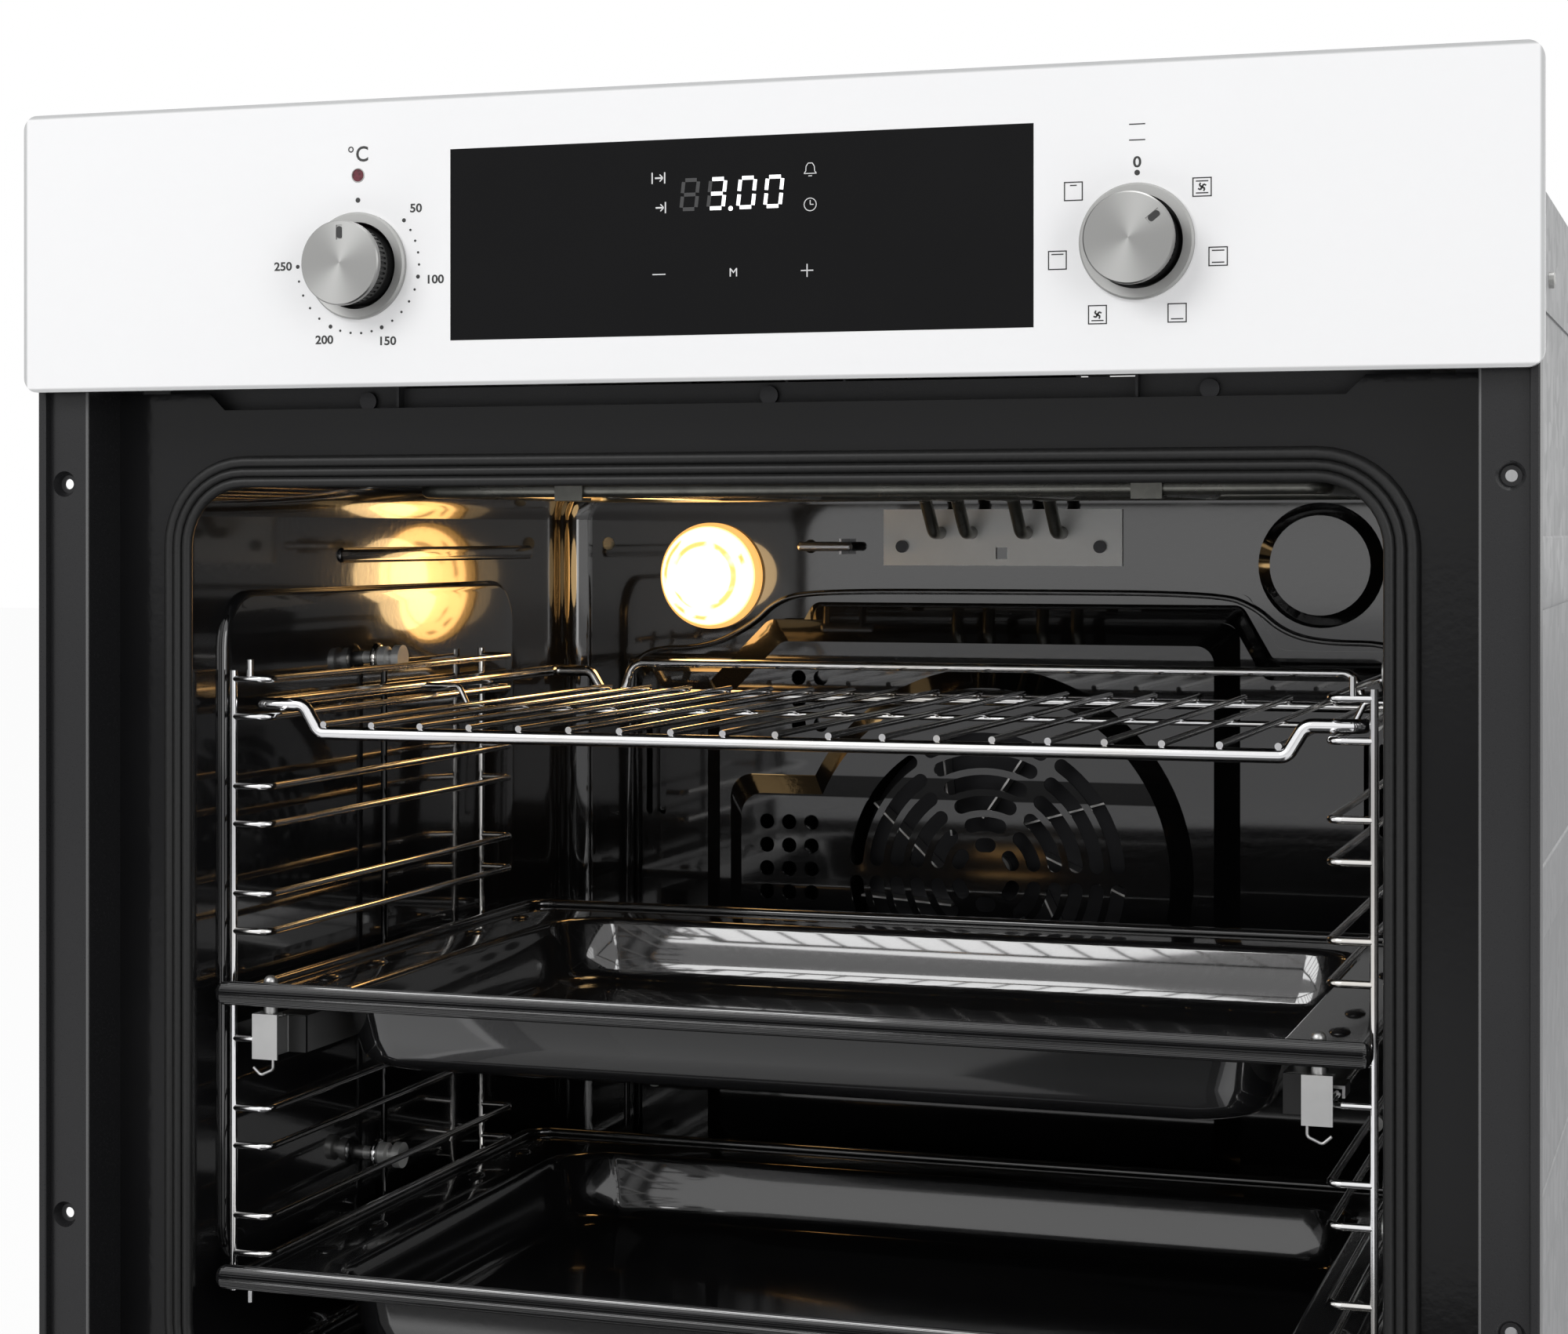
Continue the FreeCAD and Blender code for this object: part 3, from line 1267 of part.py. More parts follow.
def hinge_bracket():
    """Right-hand hinge seat: plate behind the cavity face and the ear that the door hangs on."""
    ear = union([box(hinge_x - 2, hinge_x + 2, pivot_y - 2, recess_y + enamel + sheet + 26,
                     pivot_z - 6, pivot_z + 6),
                 rod((hinge_x - 2, pivot_y, pivot_z), (hinge_x + 2, pivot_y, pivot_z), 6.0)])
    y = recess_y + enamel + sheet
    seat = box(hinge_x - 10, hinge_x + 10, y, y + 2, frame_bottom + 1, plinth_top + 6)
    tail = box(hinge_x - 2, hinge_x + 2, y, y + 26, pivot_z - 6, plinth_top + 6)
    bracket = union([ear, seat, tail])
    return bracket.cut(rod((hinge_x - 5, pivot_y, pivot_z), (hinge_x + 5, pivot_y, pivot_z),
                           hinge_pin_r + hinge_pin_fit))


def hinge_arm():
    """Right-hand hinge of the door: two cheeks either side of the ear, their pin and the arm."""
    cheeks = []
    for side in SIDES:
        x0 = hinge_x + side * (2.3 + 1.25) - 1.25
        cheeks.append(union([box(x0, x0 + 2.5, pivot_y - 5, pivot_y + 5, pivot_z, door_bottom + 150),
                             rod((x0, pivot_y, pivot_z), (x0 + 2.5, pivot_y, pivot_z), 6.0)]))
    web = box(hinge_x - 4.8, door_half - 2, pivot_y - 5, pivot_y + 5, door_bottom + 22, door_bottom + 150)
    pin = rod((hinge_x - 4.8, pivot_y, pivot_z), (hinge_x + 4.8, pivot_y, pivot_z), hinge_pin_r)
    return union(cheeks + [web, pin])


# ---------- write every node ----------
def build():
    os.makedirs("parts", exist_ok=True)
    save("base_panel", base_panel())
    side = side_panel()
    save("side_panel_right", side)
    save("side_panel_left", mirrored(side))
    save("top_cover", top_cover())
    save("rear_panel", rear_panel())
    save("terminal_cover", terminal_cover())
    save("front_frame", front_frame())
    save("cavity_liner", cavity_liner())
    save("door_gasket", door_gasket())
    save("insulation_blanket", insulation_blanket())
    save("control_panel_glass", control_panel_glass())
    save("panel_carrier", panel_carrier())
    save("switch_bracket", switch_bracket())
    save("display_module", display_module())
    save("indicator_lamp", indicator_lamp())
    for name, x, size, angle in (("thermostat", thermostat_x, thermostat_size, 0.0),
                                 ("selector", selector_x, selector_size, selector_step)):
        save(f"{name}_body", rotary_control(x, size))
        save(f"{name}_spindle", spindle(x))
        save(f"{name}_collar", knob_collar(x))
        save(f"{name}_grip", knob_grip(x))
        save(f"{name}_cap", knob_cap(x, angle))
    right_ladder = ladder()
    save("ladder_right", right_ladder)
    save("ladder_left", mirrored(right_ladder))
    nuts = ladder_nuts()
    save("ladder_nuts", Part.makeCompound(nuts + [mirrored(n) for n in nuts]))
    save("wire_rack", wire_rack())
    save("upper_tray", tray(upper_rail_z))
    save("lower_tray", tray(lower_rail_z))
    save("runner_rails", both_sides(runner_rail()))
    save("runner_middles", both_sides(runner_middle()))
    save("runner_slides", both_sides(runner_slide()))
    save("rear_baffle", rear_baffle())
    save("convection_fan_wheel", convection_fan_wheel())
    save("convection_fan_motor", convection_fan_motor())
    save("lamp_holder", lamp_holder())
    save("lamp_bulb", lamp_bulb())
    save("lamp_glass", lamp_glass())
    save("temperature_probe", temperature_probe())
    save("grill_heater", grill_heater())
    save("top_heater", top_heater())
    save("heater_flange", heater_flange())
    save("heater_clips", heater_clips())
    save("bottom_heater", bottom_heater())
    save("cooling_fan_housing", cooling_fan_housing())
    save("cooling_fan_wheel", cooling_fan_wheel())
    save("cooling_fan_motor", cooling_fan_motor())
    save("screws", screws())
    save("hinge_brackets", both_sides(hinge_bracket()))
    save("hinge_arms", both_sides(swung_open(hinge_arm())))
    save("door_outer_glass", swung_open(door_outer_glass()))
    save("door_side_rails", both_sides(swung_open(door_side_rail())))
    save("door_top_rail", swung_open(door_top_rail()))
    save("door_bottom_rail", swung_open(door_bottom_rail()))
    save("door_middle_glass", swung_open(door_middle_glass()))
    save("door_inner_glass", swung_open(door_inner_glass()))
    save("door_handle_bar", swung_open(door_handle_bar()))
    save("door_handle_posts", both_sides(swung_open(door_handle_post())))


build()
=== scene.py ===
import math

import bpy
from mathutils import Matrix, Vector


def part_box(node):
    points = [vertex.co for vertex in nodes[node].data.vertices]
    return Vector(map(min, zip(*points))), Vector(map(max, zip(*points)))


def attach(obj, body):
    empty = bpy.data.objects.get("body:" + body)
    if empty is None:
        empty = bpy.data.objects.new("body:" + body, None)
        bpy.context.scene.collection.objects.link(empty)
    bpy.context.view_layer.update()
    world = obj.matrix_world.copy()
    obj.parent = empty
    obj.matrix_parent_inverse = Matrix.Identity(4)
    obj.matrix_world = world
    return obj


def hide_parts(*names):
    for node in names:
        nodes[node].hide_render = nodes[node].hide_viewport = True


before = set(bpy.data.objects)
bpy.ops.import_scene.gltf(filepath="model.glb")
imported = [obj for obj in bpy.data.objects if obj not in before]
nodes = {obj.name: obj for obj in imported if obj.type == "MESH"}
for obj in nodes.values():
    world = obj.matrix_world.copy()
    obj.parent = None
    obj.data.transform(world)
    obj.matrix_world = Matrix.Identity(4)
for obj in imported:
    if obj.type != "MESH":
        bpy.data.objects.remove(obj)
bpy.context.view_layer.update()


# -------------------------------- studio
# A plain white room: pale floor, white surroundings and three soft lamps.
# The camera stands in front of the open door, a little to the right of the middle.
focal_length, frame_width = 67.37, 36.0
frame_shift = -0.0833
camera_place = (0.36647, -1.04639, 0.42767)
camera_heading, camera_tilt = 18.38, 89.91
camera_data = bpy.data.cameras.new("camera")
camera = bpy.data.objects.new("camera", camera_data)
bpy.context.scene.collection.objects.link(camera)
camera_data.sensor_width = frame_width
camera_data.lens = focal_length
camera_data.shift_y = frame_shift
camera_data.clip_start = 0.02
camera_data.clip_end = 60.0
camera.matrix_world = (Matrix.Translation(camera_place)
                       @ Matrix.Rotation(math.radians(camera_heading), 4, "Z")
                       @ Matrix.Rotation(math.radians(camera_tilt), 4, "X"))
bpy.context.scene.camera = camera
bpy.context.scene.view_settings.view_transform = "Standard"


class Value:
    """A number that varies over a surface. Arithmetic on it adds Math nodes."""

    def __init__(self, finish, socket):
        self.finish = finish
        self.socket = socket

    def math(self, operation, *others, clamp=False):
        return self.finish.node("ShaderNodeMath", dict(operation=operation, use_clamp=clamp),
                                {i: v for i, v in enumerate((self,) + others)})

    def __add__(self, other):
        return self.math("ADD", other)

    __radd__ = __add__

    def __sub__(self, other):
        return self.math("SUBTRACT", other)

    def __rsub__(self, other):
        return self.finish.node("ShaderNodeMath", dict(operation="SUBTRACT"), {0: other, 1: self})

    def __mul__(self, other):
        return self.math("MULTIPLY", other)

    __rmul__ = __mul__

    def __abs__(self):
        return self.math("ABSOLUTE")

    def __pow__(self, other):
        return self.math("POWER", other)

    def above(self, edge, soft):
        """1 where the value is over the edge, 0 under it, with a step that is soft to each side."""
        return ((self - (edge - soft)) * (0.5 / soft)).math("ADD", 0.0, clamp=True)


class Finish:
    """A material built on one Principled shader. Constants stand on the shader's own sockets."""

    def __init__(self, name, **constants):
        self.material = bpy.data.materials.new(name)
        self.material.use_nodes = True
        self.tree = self.material.node_tree
        self.tree.nodes.clear()
        self.output = self.tree.nodes.new("ShaderNodeOutputMaterial")
        self.shader = self.tree.nodes.new("ShaderNodeBsdfPrincipled")
        self.tree.links.new(self.shader.outputs[0], self.output.inputs["Surface"])
        for name, value in constants.items():
            self.set(name.replace("_", " "), value)

    def fill(self, socket, value):
        """Links a varying value to a socket, or writes a constant into it."""
        if isinstance(value, Value):
            self.tree.links.new(value.socket, socket)
        else:
            socket.default_value = (*value, 1.0) if socket.type == "RGBA" else value

    def set(self, name, value):
        self.fill(self.shader.inputs[name], value)

    def node(self, kind, settings, inputs, output=0):
        """Adds a node: its settings first, then the values or links of its sockets."""
        made = self.tree.nodes.new(kind)
        for key, value in settings.items():
            setattr(made, key, value)
        for key, value in inputs.items():
            self.fill(made.inputs[key], value)
        return Value(self, made.outputs[output])

    def place(self, scale=(1.0, 1.0, 1.0), offset=(0.0, 0.0, 0.0)):
        """Where a point lies on the piece, in the frame's metres."""
        point = self.node("ShaderNodeTexCoord", {}, {}, "Object")
        return self.node("ShaderNodeMapping", {}, {"Vector": point, "Scale": scale, "Location": offset})

    def axes(self, place=None):
        """The three coordinates of a point on the piece, in metres."""
        split = self.node("ShaderNodeSeparateXYZ", {}, {"Vector": place or self.place()})
        outputs = split.socket.node.outputs
        return Value(self, outputs[0]), Value(self, outputs[1]), Value(self, outputs[2])

    def noise(self, scale, place=None, detail=3.0, roughness=0.55):
        return self.node("ShaderNodeTexNoise", {}, {"Vector": place or self.place(), "Scale": scale,
                                                    "Detail": detail, "Roughness": roughness}, 0)

    def cells(self, scale, place=None, output="Color", feature="F1"):
        return self.node("ShaderNodeTexVoronoi", dict(feature=feature),
                         {"Vector": place or self.place(), "Scale": scale}, output)

    def blend(self, factor, first, second):
        """A colour that goes from the first to the second as the factor goes from 0 to 1.
        A plain number is a grey."""
        first, second = ((c,) * 3 if isinstance(c, float) else c for c in (first, second))
        return self.node("ShaderNodeMix", dict(data_type="RGBA"), {0: factor, 6: first, 7: second}, 2)

    def bump(self, height, distance, strength=1.0):
        self.set("Normal", self.node("ShaderNodeBump", {}, {"Height": height, "Distance": distance,
                                                            "Strength": strength}))

    def vary(self, pattern, dark, light, roughness=None, pits=None):
        """Carries the colour from dark to light with a pattern. The roughness is given as its least
        value and its spread, and the pits as their depth in metres and their strength."""
        self.set("Base Color", self.blend(pattern, dark, light))
        if roughness:
            self.set("Roughness", roughness[0] + pattern * roughness[1])
        if pits:
            self.bump(pattern, *pits)

    def coat(self, *pieces):
        """Puts the finish on objects, in place of whatever they had."""
        for piece in pieces:
            piece.data.materials.clear()
            piece.data.materials.append(self.material)
            for polygon in piece.data.polygons:
                polygon.material_index = 0


def only(piece):
    """Deselects all and makes this the one active, selected object."""
    if bpy.context.object and bpy.context.object.mode != "OBJECT":
        bpy.ops.object.mode_set(mode="OBJECT")
    bpy.ops.object.select_all(action="DESELECT")
    piece.select_set(True)
    bpy.context.view_layer.objects.active = piece


def join(parts, name):
    """Makes one named object of several."""
    only(parts[0])
    for part in parts:
        part.select_set(True)
    if len(parts) > 1:
        bpy.ops.object.join()
    joined = bpy.context.object
    joined.name = name
    joined.data.name = name
    return joined


def start(kind, **settings):
    """Adds a primitive, alone in the selection, as the start of a piece."""
    bpy.ops.object.select_all(action="DESELECT")
    getattr(bpy.ops.mesh, "primitive_" + kind + "_add")(**settings)
    return bpy.context.object


def fix_place(piece):
    """Moves an object's place, turn and scale into its mesh."""
    only(piece)
    bpy.ops.object.transform_apply(location=True, rotation=True, scale=True)


def pick(piece, kind, test):
    """Opens a piece for editing with only those of its edges or polygons selected that pass a test."""
    bpy.ops.object.mode_set(mode="EDIT")
    bpy.ops.mesh.select_all(action="DESELECT")
    bpy.ops.object.mode_set(mode="OBJECT")
    for element in getattr(piece.data, kind):
        element.select = test(element)
    bpy.ops.object.mode_set(mode="EDIT")


def across(piece, edge, axis):
    """How far an edge runs along an axis."""
    ends = [piece.data.vertices[i].co[axis] for i in edge.vertices]
    return abs(ends[0] - ends[1])


def settle(piece, body, finish, smooth=35.0):
    """Applies a new piece's place, shades it and hands it to its body."""
    fix_place(piece)
    if smooth:
        bpy.ops.object.shade_smooth_by_angle(angle=math.radians(smooth))
    finish.coat(piece)
    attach(piece, body)


# The world lights the object softly. Seen directly, in a gloss or through glass it is plain white.
room_tone = (0.54, 0.54, 0.55, 1.0)
plain_white = (1.0, 1.0, 1.0, 1.0)
world = bpy.data.worlds.new("surroundings")
bpy.context.scene.world = world
world.use_nodes = True
room = world.node_tree
room.nodes.clear()
room_output = room.nodes.new("ShaderNodeOutputWorld")
seen = room.nodes.new("ShaderNodeBackground")
seen.inputs["Color"].default_value = plain_white
lit_by = room.nodes.new("ShaderNodeBackground")
lit_by.inputs["Color"].default_value = room_tone
room_path = room.nodes.new("ShaderNodeLightPath")
either, any_ray = room.nodes.new("ShaderNodeMath"), room.nodes.new("ShaderNodeMath")
either.operation = any_ray.operation = "MAXIMUM"
room_mix = room.nodes.new("ShaderNodeMixShader")
room.links.new(room_path.outputs["Is Camera Ray"], either.inputs[0])
room.links.new(room_path.outputs["Is Glossy Ray"], either.inputs[1])
room.links.new(either.outputs[0], any_ray.inputs[0])
room.links.new(room_path.outputs["Is Transmission Ray"], any_ray.inputs[1])
room.links.new(any_ray.outputs[0], room_mix.inputs["Fac"])
room.links.new(lit_by.outputs[0], room_mix.inputs[1])
room.links.new(seen.outputs[0], room_mix.inputs[2])
room.links.new(room_mix.outputs[0], room_output.inputs["Surface"])

floor_height = -0.052
floor_whiteness = 0.93
floor = start("plane", size=30.0, location=(0.0, 0.0, floor_height))
floor.name = "studio_floor"
floor_finish = Finish("pale_floor", Base_Color=(0.86, 0.86, 0.86), Roughness=0.7)
floor_glow = floor_finish.tree.nodes.new("ShaderNodeEmission")
floor_glow.inputs["Color"].default_value = plain_white
floor_mix = floor_finish.tree.nodes.new("ShaderNodeMixShader")
floor_path = floor_finish.node("ShaderNodeLightPath", {}, {}, "Is Camera Ray")
floor_finish.tree.links.new((floor_path * floor_whiteness).socket, floor_mix.inputs["Fac"])
floor_finish.tree.links.new(floor_finish.shader.outputs[0], floor_mix.inputs[1])
floor_finish.tree.links.new(floor_glow.outputs[0], floor_mix.inputs[2])
floor_finish.tree.links.new(floor_mix.outputs[0], floor_finish.output.inputs["Surface"])
floor_finish.coat(floor)

for lamp_name, place, aim, width, height, power in (
        ("key_softbox", (-1.1, -1.9, 1.75), (0.0, 0.0, 0.35), 1.3, 1.0, 24.0),
        ("fill_softbox", (1.9, -1.5, 0.9), (0.0, 0.1, 0.3), 0.9, 1.4, 9.5),
        ("top_softbox", (0.2, 0.5, 2.2), (0.0, 0.25, 0.5), 1.6, 1.2, 11.5)):
    lamp_data = bpy.data.lights.new(lamp_name, "AREA")
    lamp_data.shape = "RECTANGLE"
    lamp_data.size = width
    lamp_data.size_y = height
    lamp_data.energy = power
    lamp = bpy.data.objects.new(lamp_name, lamp_data)
    bpy.context.scene.collection.objects.link(lamp)
    lamp.location = place
    lamp.rotation_euler = (Vector(aim) - Vector(place)).to_track_quat("-Z", "Y").to_euler()


# -------------------------------- housing
# Galvanised sheet sides, lid, base and back. The zinc has crystals a few millimetres wide,
# soft reflections and faint rolling marks.
zinc = Finish("galvanised_sheet", Metallic=0.75)
crystal_tone = zinc.node("ShaderNodeSeparateColor", {}, {"Color": zinc.cells(90.0)})
broad = zinc.noise(7.0, detail=2.0)
zinc.vary(crystal_tone * 0.5 + broad * 0.5, (0.235, 0.238, 0.242), (0.305, 0.308, 0.312))
zinc.set("Roughness", 0.3 + crystal_tone * 0.14 + broad * 0.08)
zinc.bump(crystal_tone, 0.00008, 0.35)
zinc.coat(*[nodes[n] for n in ("base_panel", "side_panel_right", "side_panel_left", "top_cover",
                               "rear_panel", "switch_bracket", "hinge_brackets")])

# Sheet-metal screws with domed cross heads hold the lid and the back to the sides. Those of the element
# flange, of the air channel over the door and high at the back are coloured nearly black.
screw_steel = Finish("zinc_screw", Roughness=0.34, Metallic=0.9)
screw_grain = screw_steel.noise(900.0)
_, sy, sz = screw_steel.axes()
high_at_back = sy.above(0.409, 0.001) * sz.above(0.4, 0.001)
on_air_channel = sz.above(0.47, 0.001) * (0.04 - sy).above(0.0, 0.001)
bright_head = screw_steel.blend(screw_grain, (0.42, 0.42, 0.41), (0.62, 0.62, 0.6))
screw_steel.vary(high_at_back.math("MAXIMUM", on_air_channel), bright_head, (0.05, 0.05, 0.052))
screw_steel.bump(screw_grain, 0.00005, 0.5)


def screw_head(centre, normal, radius):
    """A domed cross-head screw lying on a surface."""
    height = radius * 0.55
    head = start("cylinder", vertices=24, radius=radius, depth=height, location=(0, 0, height / 2))
    fix_place(head)
    bpy.ops.object.mode_set(mode="EDIT")
    bpy.ops.mesh.select_mode(type="FACE")
    pick(head, "polygons", lambda polygon: polygon.normal.z > 0.9)
    for thickness, depth in ((0.22, 0.12), (0.3, 0.06), (0.12, -0.22)):
        bpy.ops.mesh.inset(thickness=radius * thickness, depth=radius * depth)
    bpy.ops.object.mode_set(mode="OBJECT")
    head.matrix_world = (Matrix.Translation(centre)
                         @ Vector(normal).to_track_quat("Z", "Y").to_matrix().to_4x4())
    bpy.ops.object.transform_apply(location=True, rotation=True)
    return head


screw_radius, lid_screw_drop = 0.0036, 0.036
low_lid, high_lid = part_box("top_cover")
high_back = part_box("rear_panel")[1]
housing_screws = []
for x in (low_lid.x, high_lid.x):
    for y in (0.06, 0.27, 0.48):
        outwards = (math.copysign(1, x), 0, 0)
        housing_screws.append(screw_head((x, y, high_lid.z - lid_screw_drop), outwards, screw_radius))
for x in (-0.262, -0.09, 0.09, 0.262):
    for z in (0.02, 0.557):
        housing_screws.append(screw_head((x, high_back.y, z), (0, 1, 0), screw_radius))
settle(join(housing_screws, "housing_screws"), "housing", screw_steel)
screw_steel.coat(nodes["screws"])


# Shallow stiffening swages pressed outwards in each side, three long ovals.
# They keep the thin sheet from drumming.
def swage(x, y, z, half_length, half_height, rise):
    rib = start("cube", size=2.0, location=(x, y, z), scale=(rise / 2, half_length, half_height))
    fix_place(rib)
    pick(rib, "edges", lambda edge: across(rib, edge, 0) > rise * 0.5)
    bpy.ops.mesh.bevel(offset=half_height * 0.98, segments=10)
    side = math.copysign(1.0, x)
    pick(rib, "polygons", lambda polygon: polygon.normal.x * side > 0.9)
    bpy.ops.mesh.bevel(offset=rise * 0.8, segments=4)
    bpy.ops.object.mode_set(mode="OBJECT")
    return rib


high_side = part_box("side_panel_right")[1]
swage_middle, swage_half_length, swage_half_height, swage_rise = 0.27, 0.17, 0.016, 0.0016
ribs = []
for side in (-1, 1):
    for z in (0.13, 0.27, 0.41):
        ribs.append(swage(side * high_side.x, swage_middle, z, swage_half_length, swage_half_height,
                          swage_rise))
settle(join(ribs, "side_swages"), "housing", zinc)


# -------------------------------- front frame and cavity
# Deep-drawn steel, fired with black vitreous enamel: a wet gloss with faint orange peel
# and pin-point specks. The columns are powder coated satin black.
front_face_y = 0.02


def enamel(name, tint, roughness, peel):
    """Black enamel. Only behind the cavity's front face does it have the wet top gloss."""
    coat = Finish(name, Specular_IOR_Level=0.22, Coat_Roughness=0.05, Coat_IOR=1.85)
    slow = coat.noise(14.0, detail=2.0)
    fine = coat.noise(260.0, detail=2.0)
    speck = coat.cells(420.0, output="Distance").above(0.06, 0.02)
    lighter = tuple(c * 1.8 + 0.01 for c in tint)
    coat.vary(slow * 0.35 + (1.0 - speck) * 0.5, tint, lighter)
    coat.set("Roughness", roughness * 0.75 + slow * (roughness * 0.5))
    coat.set("Coat Weight", coat.axes()[1].above(front_face_y, 0.001))
    coat.bump(fine * 0.5 + slow, peel, 0.35)
    return coat


cavity_enamel = enamel("cavity_enamel", (0.006, 0.006, 0.0065), 0.13, 0.0003)
baffle_enamel = enamel("fan_cover_enamel", (0.007, 0.007, 0.0075), 0.15, 0.0005)
# The shoulder of the fan cover's raised middle turns away from the light and stays dull.
shoulder_z, shoulder_half_height, shoulder_y = 0.2975, 0.0055, 0.3957
_, by, bz = baffle_enamel.axes()
in_height = (shoulder_half_height - abs(bz - shoulder_z)).above(0.0, 0.0003)
pad_shoulder = in_height * (shoulder_y - by).above(0.0, 0.0002)
baffle_enamel.set("Coat Weight", 1.0 - pad_shoulder)
cavity_enamel.coat(nodes["cavity_liner"])
baffle_enamel.coat(nodes["rear_baffle"])

# A painted highlight runs paler along each column's fold, where the bend would catch the light.
column_coat = Finish("satin_black_columns", Specular_IOR_Level=0.36)
column_grain = column_coat.noise(1400.0, detail=2.0)
fold_x, fold_y, fold_half_width = 0.275, -0.0085, 0.0005
cx, cy, _ = column_coat.axes()
on_fold = (fold_half_width - abs(abs(cx) - fold_x)).above(0.0, 0.0001)
# painted highlight: a paler line on the front of each column's fold
painted_fold_highlight = on_fold * (fold_y - cy).above(0.0, 0.0002)
satin = column_coat.blend(column_coat.noise(9.0), (0.011, 0.011, 0.012), (0.019, 0.019, 0.02))
column_coat.vary(painted_fold_highlight, satin, 0.14)
column_coat.set("Roughness", 0.24 + column_grain * 0.1)
column_coat.bump(column_grain, 0.00006, 0.5)
column_coat.coat(nodes["front_frame"])


# Each side wall has a large panel pressed inwards, with a rounded shoulder, and a narrow bead
# above it. They stiffen the wall and keep the wire ladders clear of it.
cavity_wall_x = 0.2431


def pressed_panel(side, y0, y1, z0, z1, rise, corner):
    panel = start("cube", size=2.0, location=(side * cavity_wall_x, (y0 + y1) / 2, (z0 + z1) / 2),
                  scale=(rise, (y1 - y0) / 2, (z1 - z0) / 2))
    fix_place(panel)
    pick(panel, "edges", lambda edge: across(panel, edge, 0) > rise)
    bpy.ops.mesh.bevel(offset=corner, segments=8)
    pick(panel, "polygons", lambda polygon: polygon.normal.x * side < -0.9)
    bpy.ops.mesh.bevel(offset=rise * 0.9, segments=5)
    bpy.ops.object.mode_set(mode="OBJECT")
    return panel


wall_panels = []
for side in (-1, 1):
    wall_panels.append(pressed_panel(side, 0.041, 0.34, 0.115, 0.403, 0.0032, 0.024))
    wall_panels.append(pressed_panel(side, 0.149, 0.368, 0.4135, 0.4205, 0.0014, 0.0034))
settle(join(wall_panels, "cavity_wall_pressings"), "housing", cavity_enamel, 60.0)


def tube(path, thickness):
    """Gives a curve a round section and makes it a mesh."""
    path.data.bevel_depth = thickness
    path.data.bevel_resolution = 4
    only(path)
    bpy.ops.object.convert(target="MESH")
    return bpy.context.object


# The fan cover's edge is rolled, so that it lies tight on the back wall. The roll follows the
# step in the cover's top edge, below the lamp and the pressed blank.
roll_y, roll_radius = 0.4172, 0.0015
roll_points = ((-0.2085, 0.11), (-0.2085, 0.345), (-0.2, 0.3655), (-0.163, 0.366), (-0.137, 0.379),
               (-0.125, 0.391), (-0.105, 0.3965), (0.0, 0.3968), (0.11, 0.3965), (0.128, 0.39),
               (0.141, 0.378), (0.16, 0.3725), (0.2, 0.3725), (0.2085, 0.352), (0.2085, 0.11))
roll_curve = bpy.data.curves.new("fan_cover_roll", "CURVE")
roll_curve.dimensions = "3D"
roll_spline = roll_curve.splines.new("NURBS")
roll_spline.points.add(len(roll_points) - 1)
for point, (x, z) in zip(roll_spline.points, roll_points):
    point.co = (x, roll_y, z, 1.0)
roll_spline.use_endpoint_u = True
roll_spline.order_u = 3
roll_curve.resolution_u = 8
roll_curve.use_fill_caps = True
fan_cover_roll = bpy.data.objects.new("fan_cover_roll", roll_curve)
bpy.context.scene.collection.objects.link(fan_cover_roll)
settle(tube(fan_cover_roll, roll_radius), "housing", baffle_enamel, 60.0)


# -------------------------------- door gasket
# Extruded silicone, joined at a corner: a broad outer bead, a groove and a thin inner lip.
# It is hooked into the cavity's front face.
rubber = Finish("black_silicone", Specular_IOR_Level=0.3)
rubber.vary(rubber.noise(700.0), 0.01, 0.022, (0.34, 0.18), (0.00008, 0.4))


def rounded_loop(name, x0, x1, z0, z1, radius, y):
    """A closed curve that follows a rounded rectangle in the plane at depth y."""
    curve = bpy.data.curves.new(name, "CURVE")
    curve.dimensions = "3D"
    spline = curve.splines.new("BEZIER")
    handle = 0.5523 * radius  # a quarter circle's
    ends = []
    for cx, cz, ax, az in ((x1, z0, -1, 0), (x1, z1, 0, -1), (x0, z1, 1, 0), (x0, z0, 0, 1)):
        bx, bz = az, -ax
        ends.append((Vector((cx + ax * radius, y, cz + az * radius)), Vector((-ax, 0, -az))))
        ends.append((Vector((cx + bx * radius, y, cz + bz * radius)), Vector((bx, 0, bz))))
    spline.bezier_points.add(len(ends) - 1)
    for point, (spot, way) in zip(spline.bezier_points, ends):
        point.co = spot
        point.handle_left = spot - way * handle
        point.handle_right = spot + way * handle
    spline.use_cyclic_u = True
    curve.resolution_u = 10
    loop = bpy.data.objects.new(name, curve)
    bpy.context.scene.collection.objects.link(loop)
    return loop


rubber.coat(nodes["door_gasket"])
seal_low, seal_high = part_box("door_gasket")
seal_beads = []
seal_corner = 0.037
for inset, depth, thickness in ((0.0026, 0.0042, 0.0026), (0.0068, 0.0028, 0.0019),
                                (0.0108, 0.0032, 0.0022)):
    loop = rounded_loop("seal_bead", seal_low.x + inset, seal_high.x - inset, seal_low.z + inset,
                        seal_high.z - inset, seal_corner - inset, seal_low.y + depth)
    seal_beads.append(tube(loop, thickness))
settle(join(seal_beads, "gasket_beads"), "housing", rubber, 60.0)
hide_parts("door_gasket")


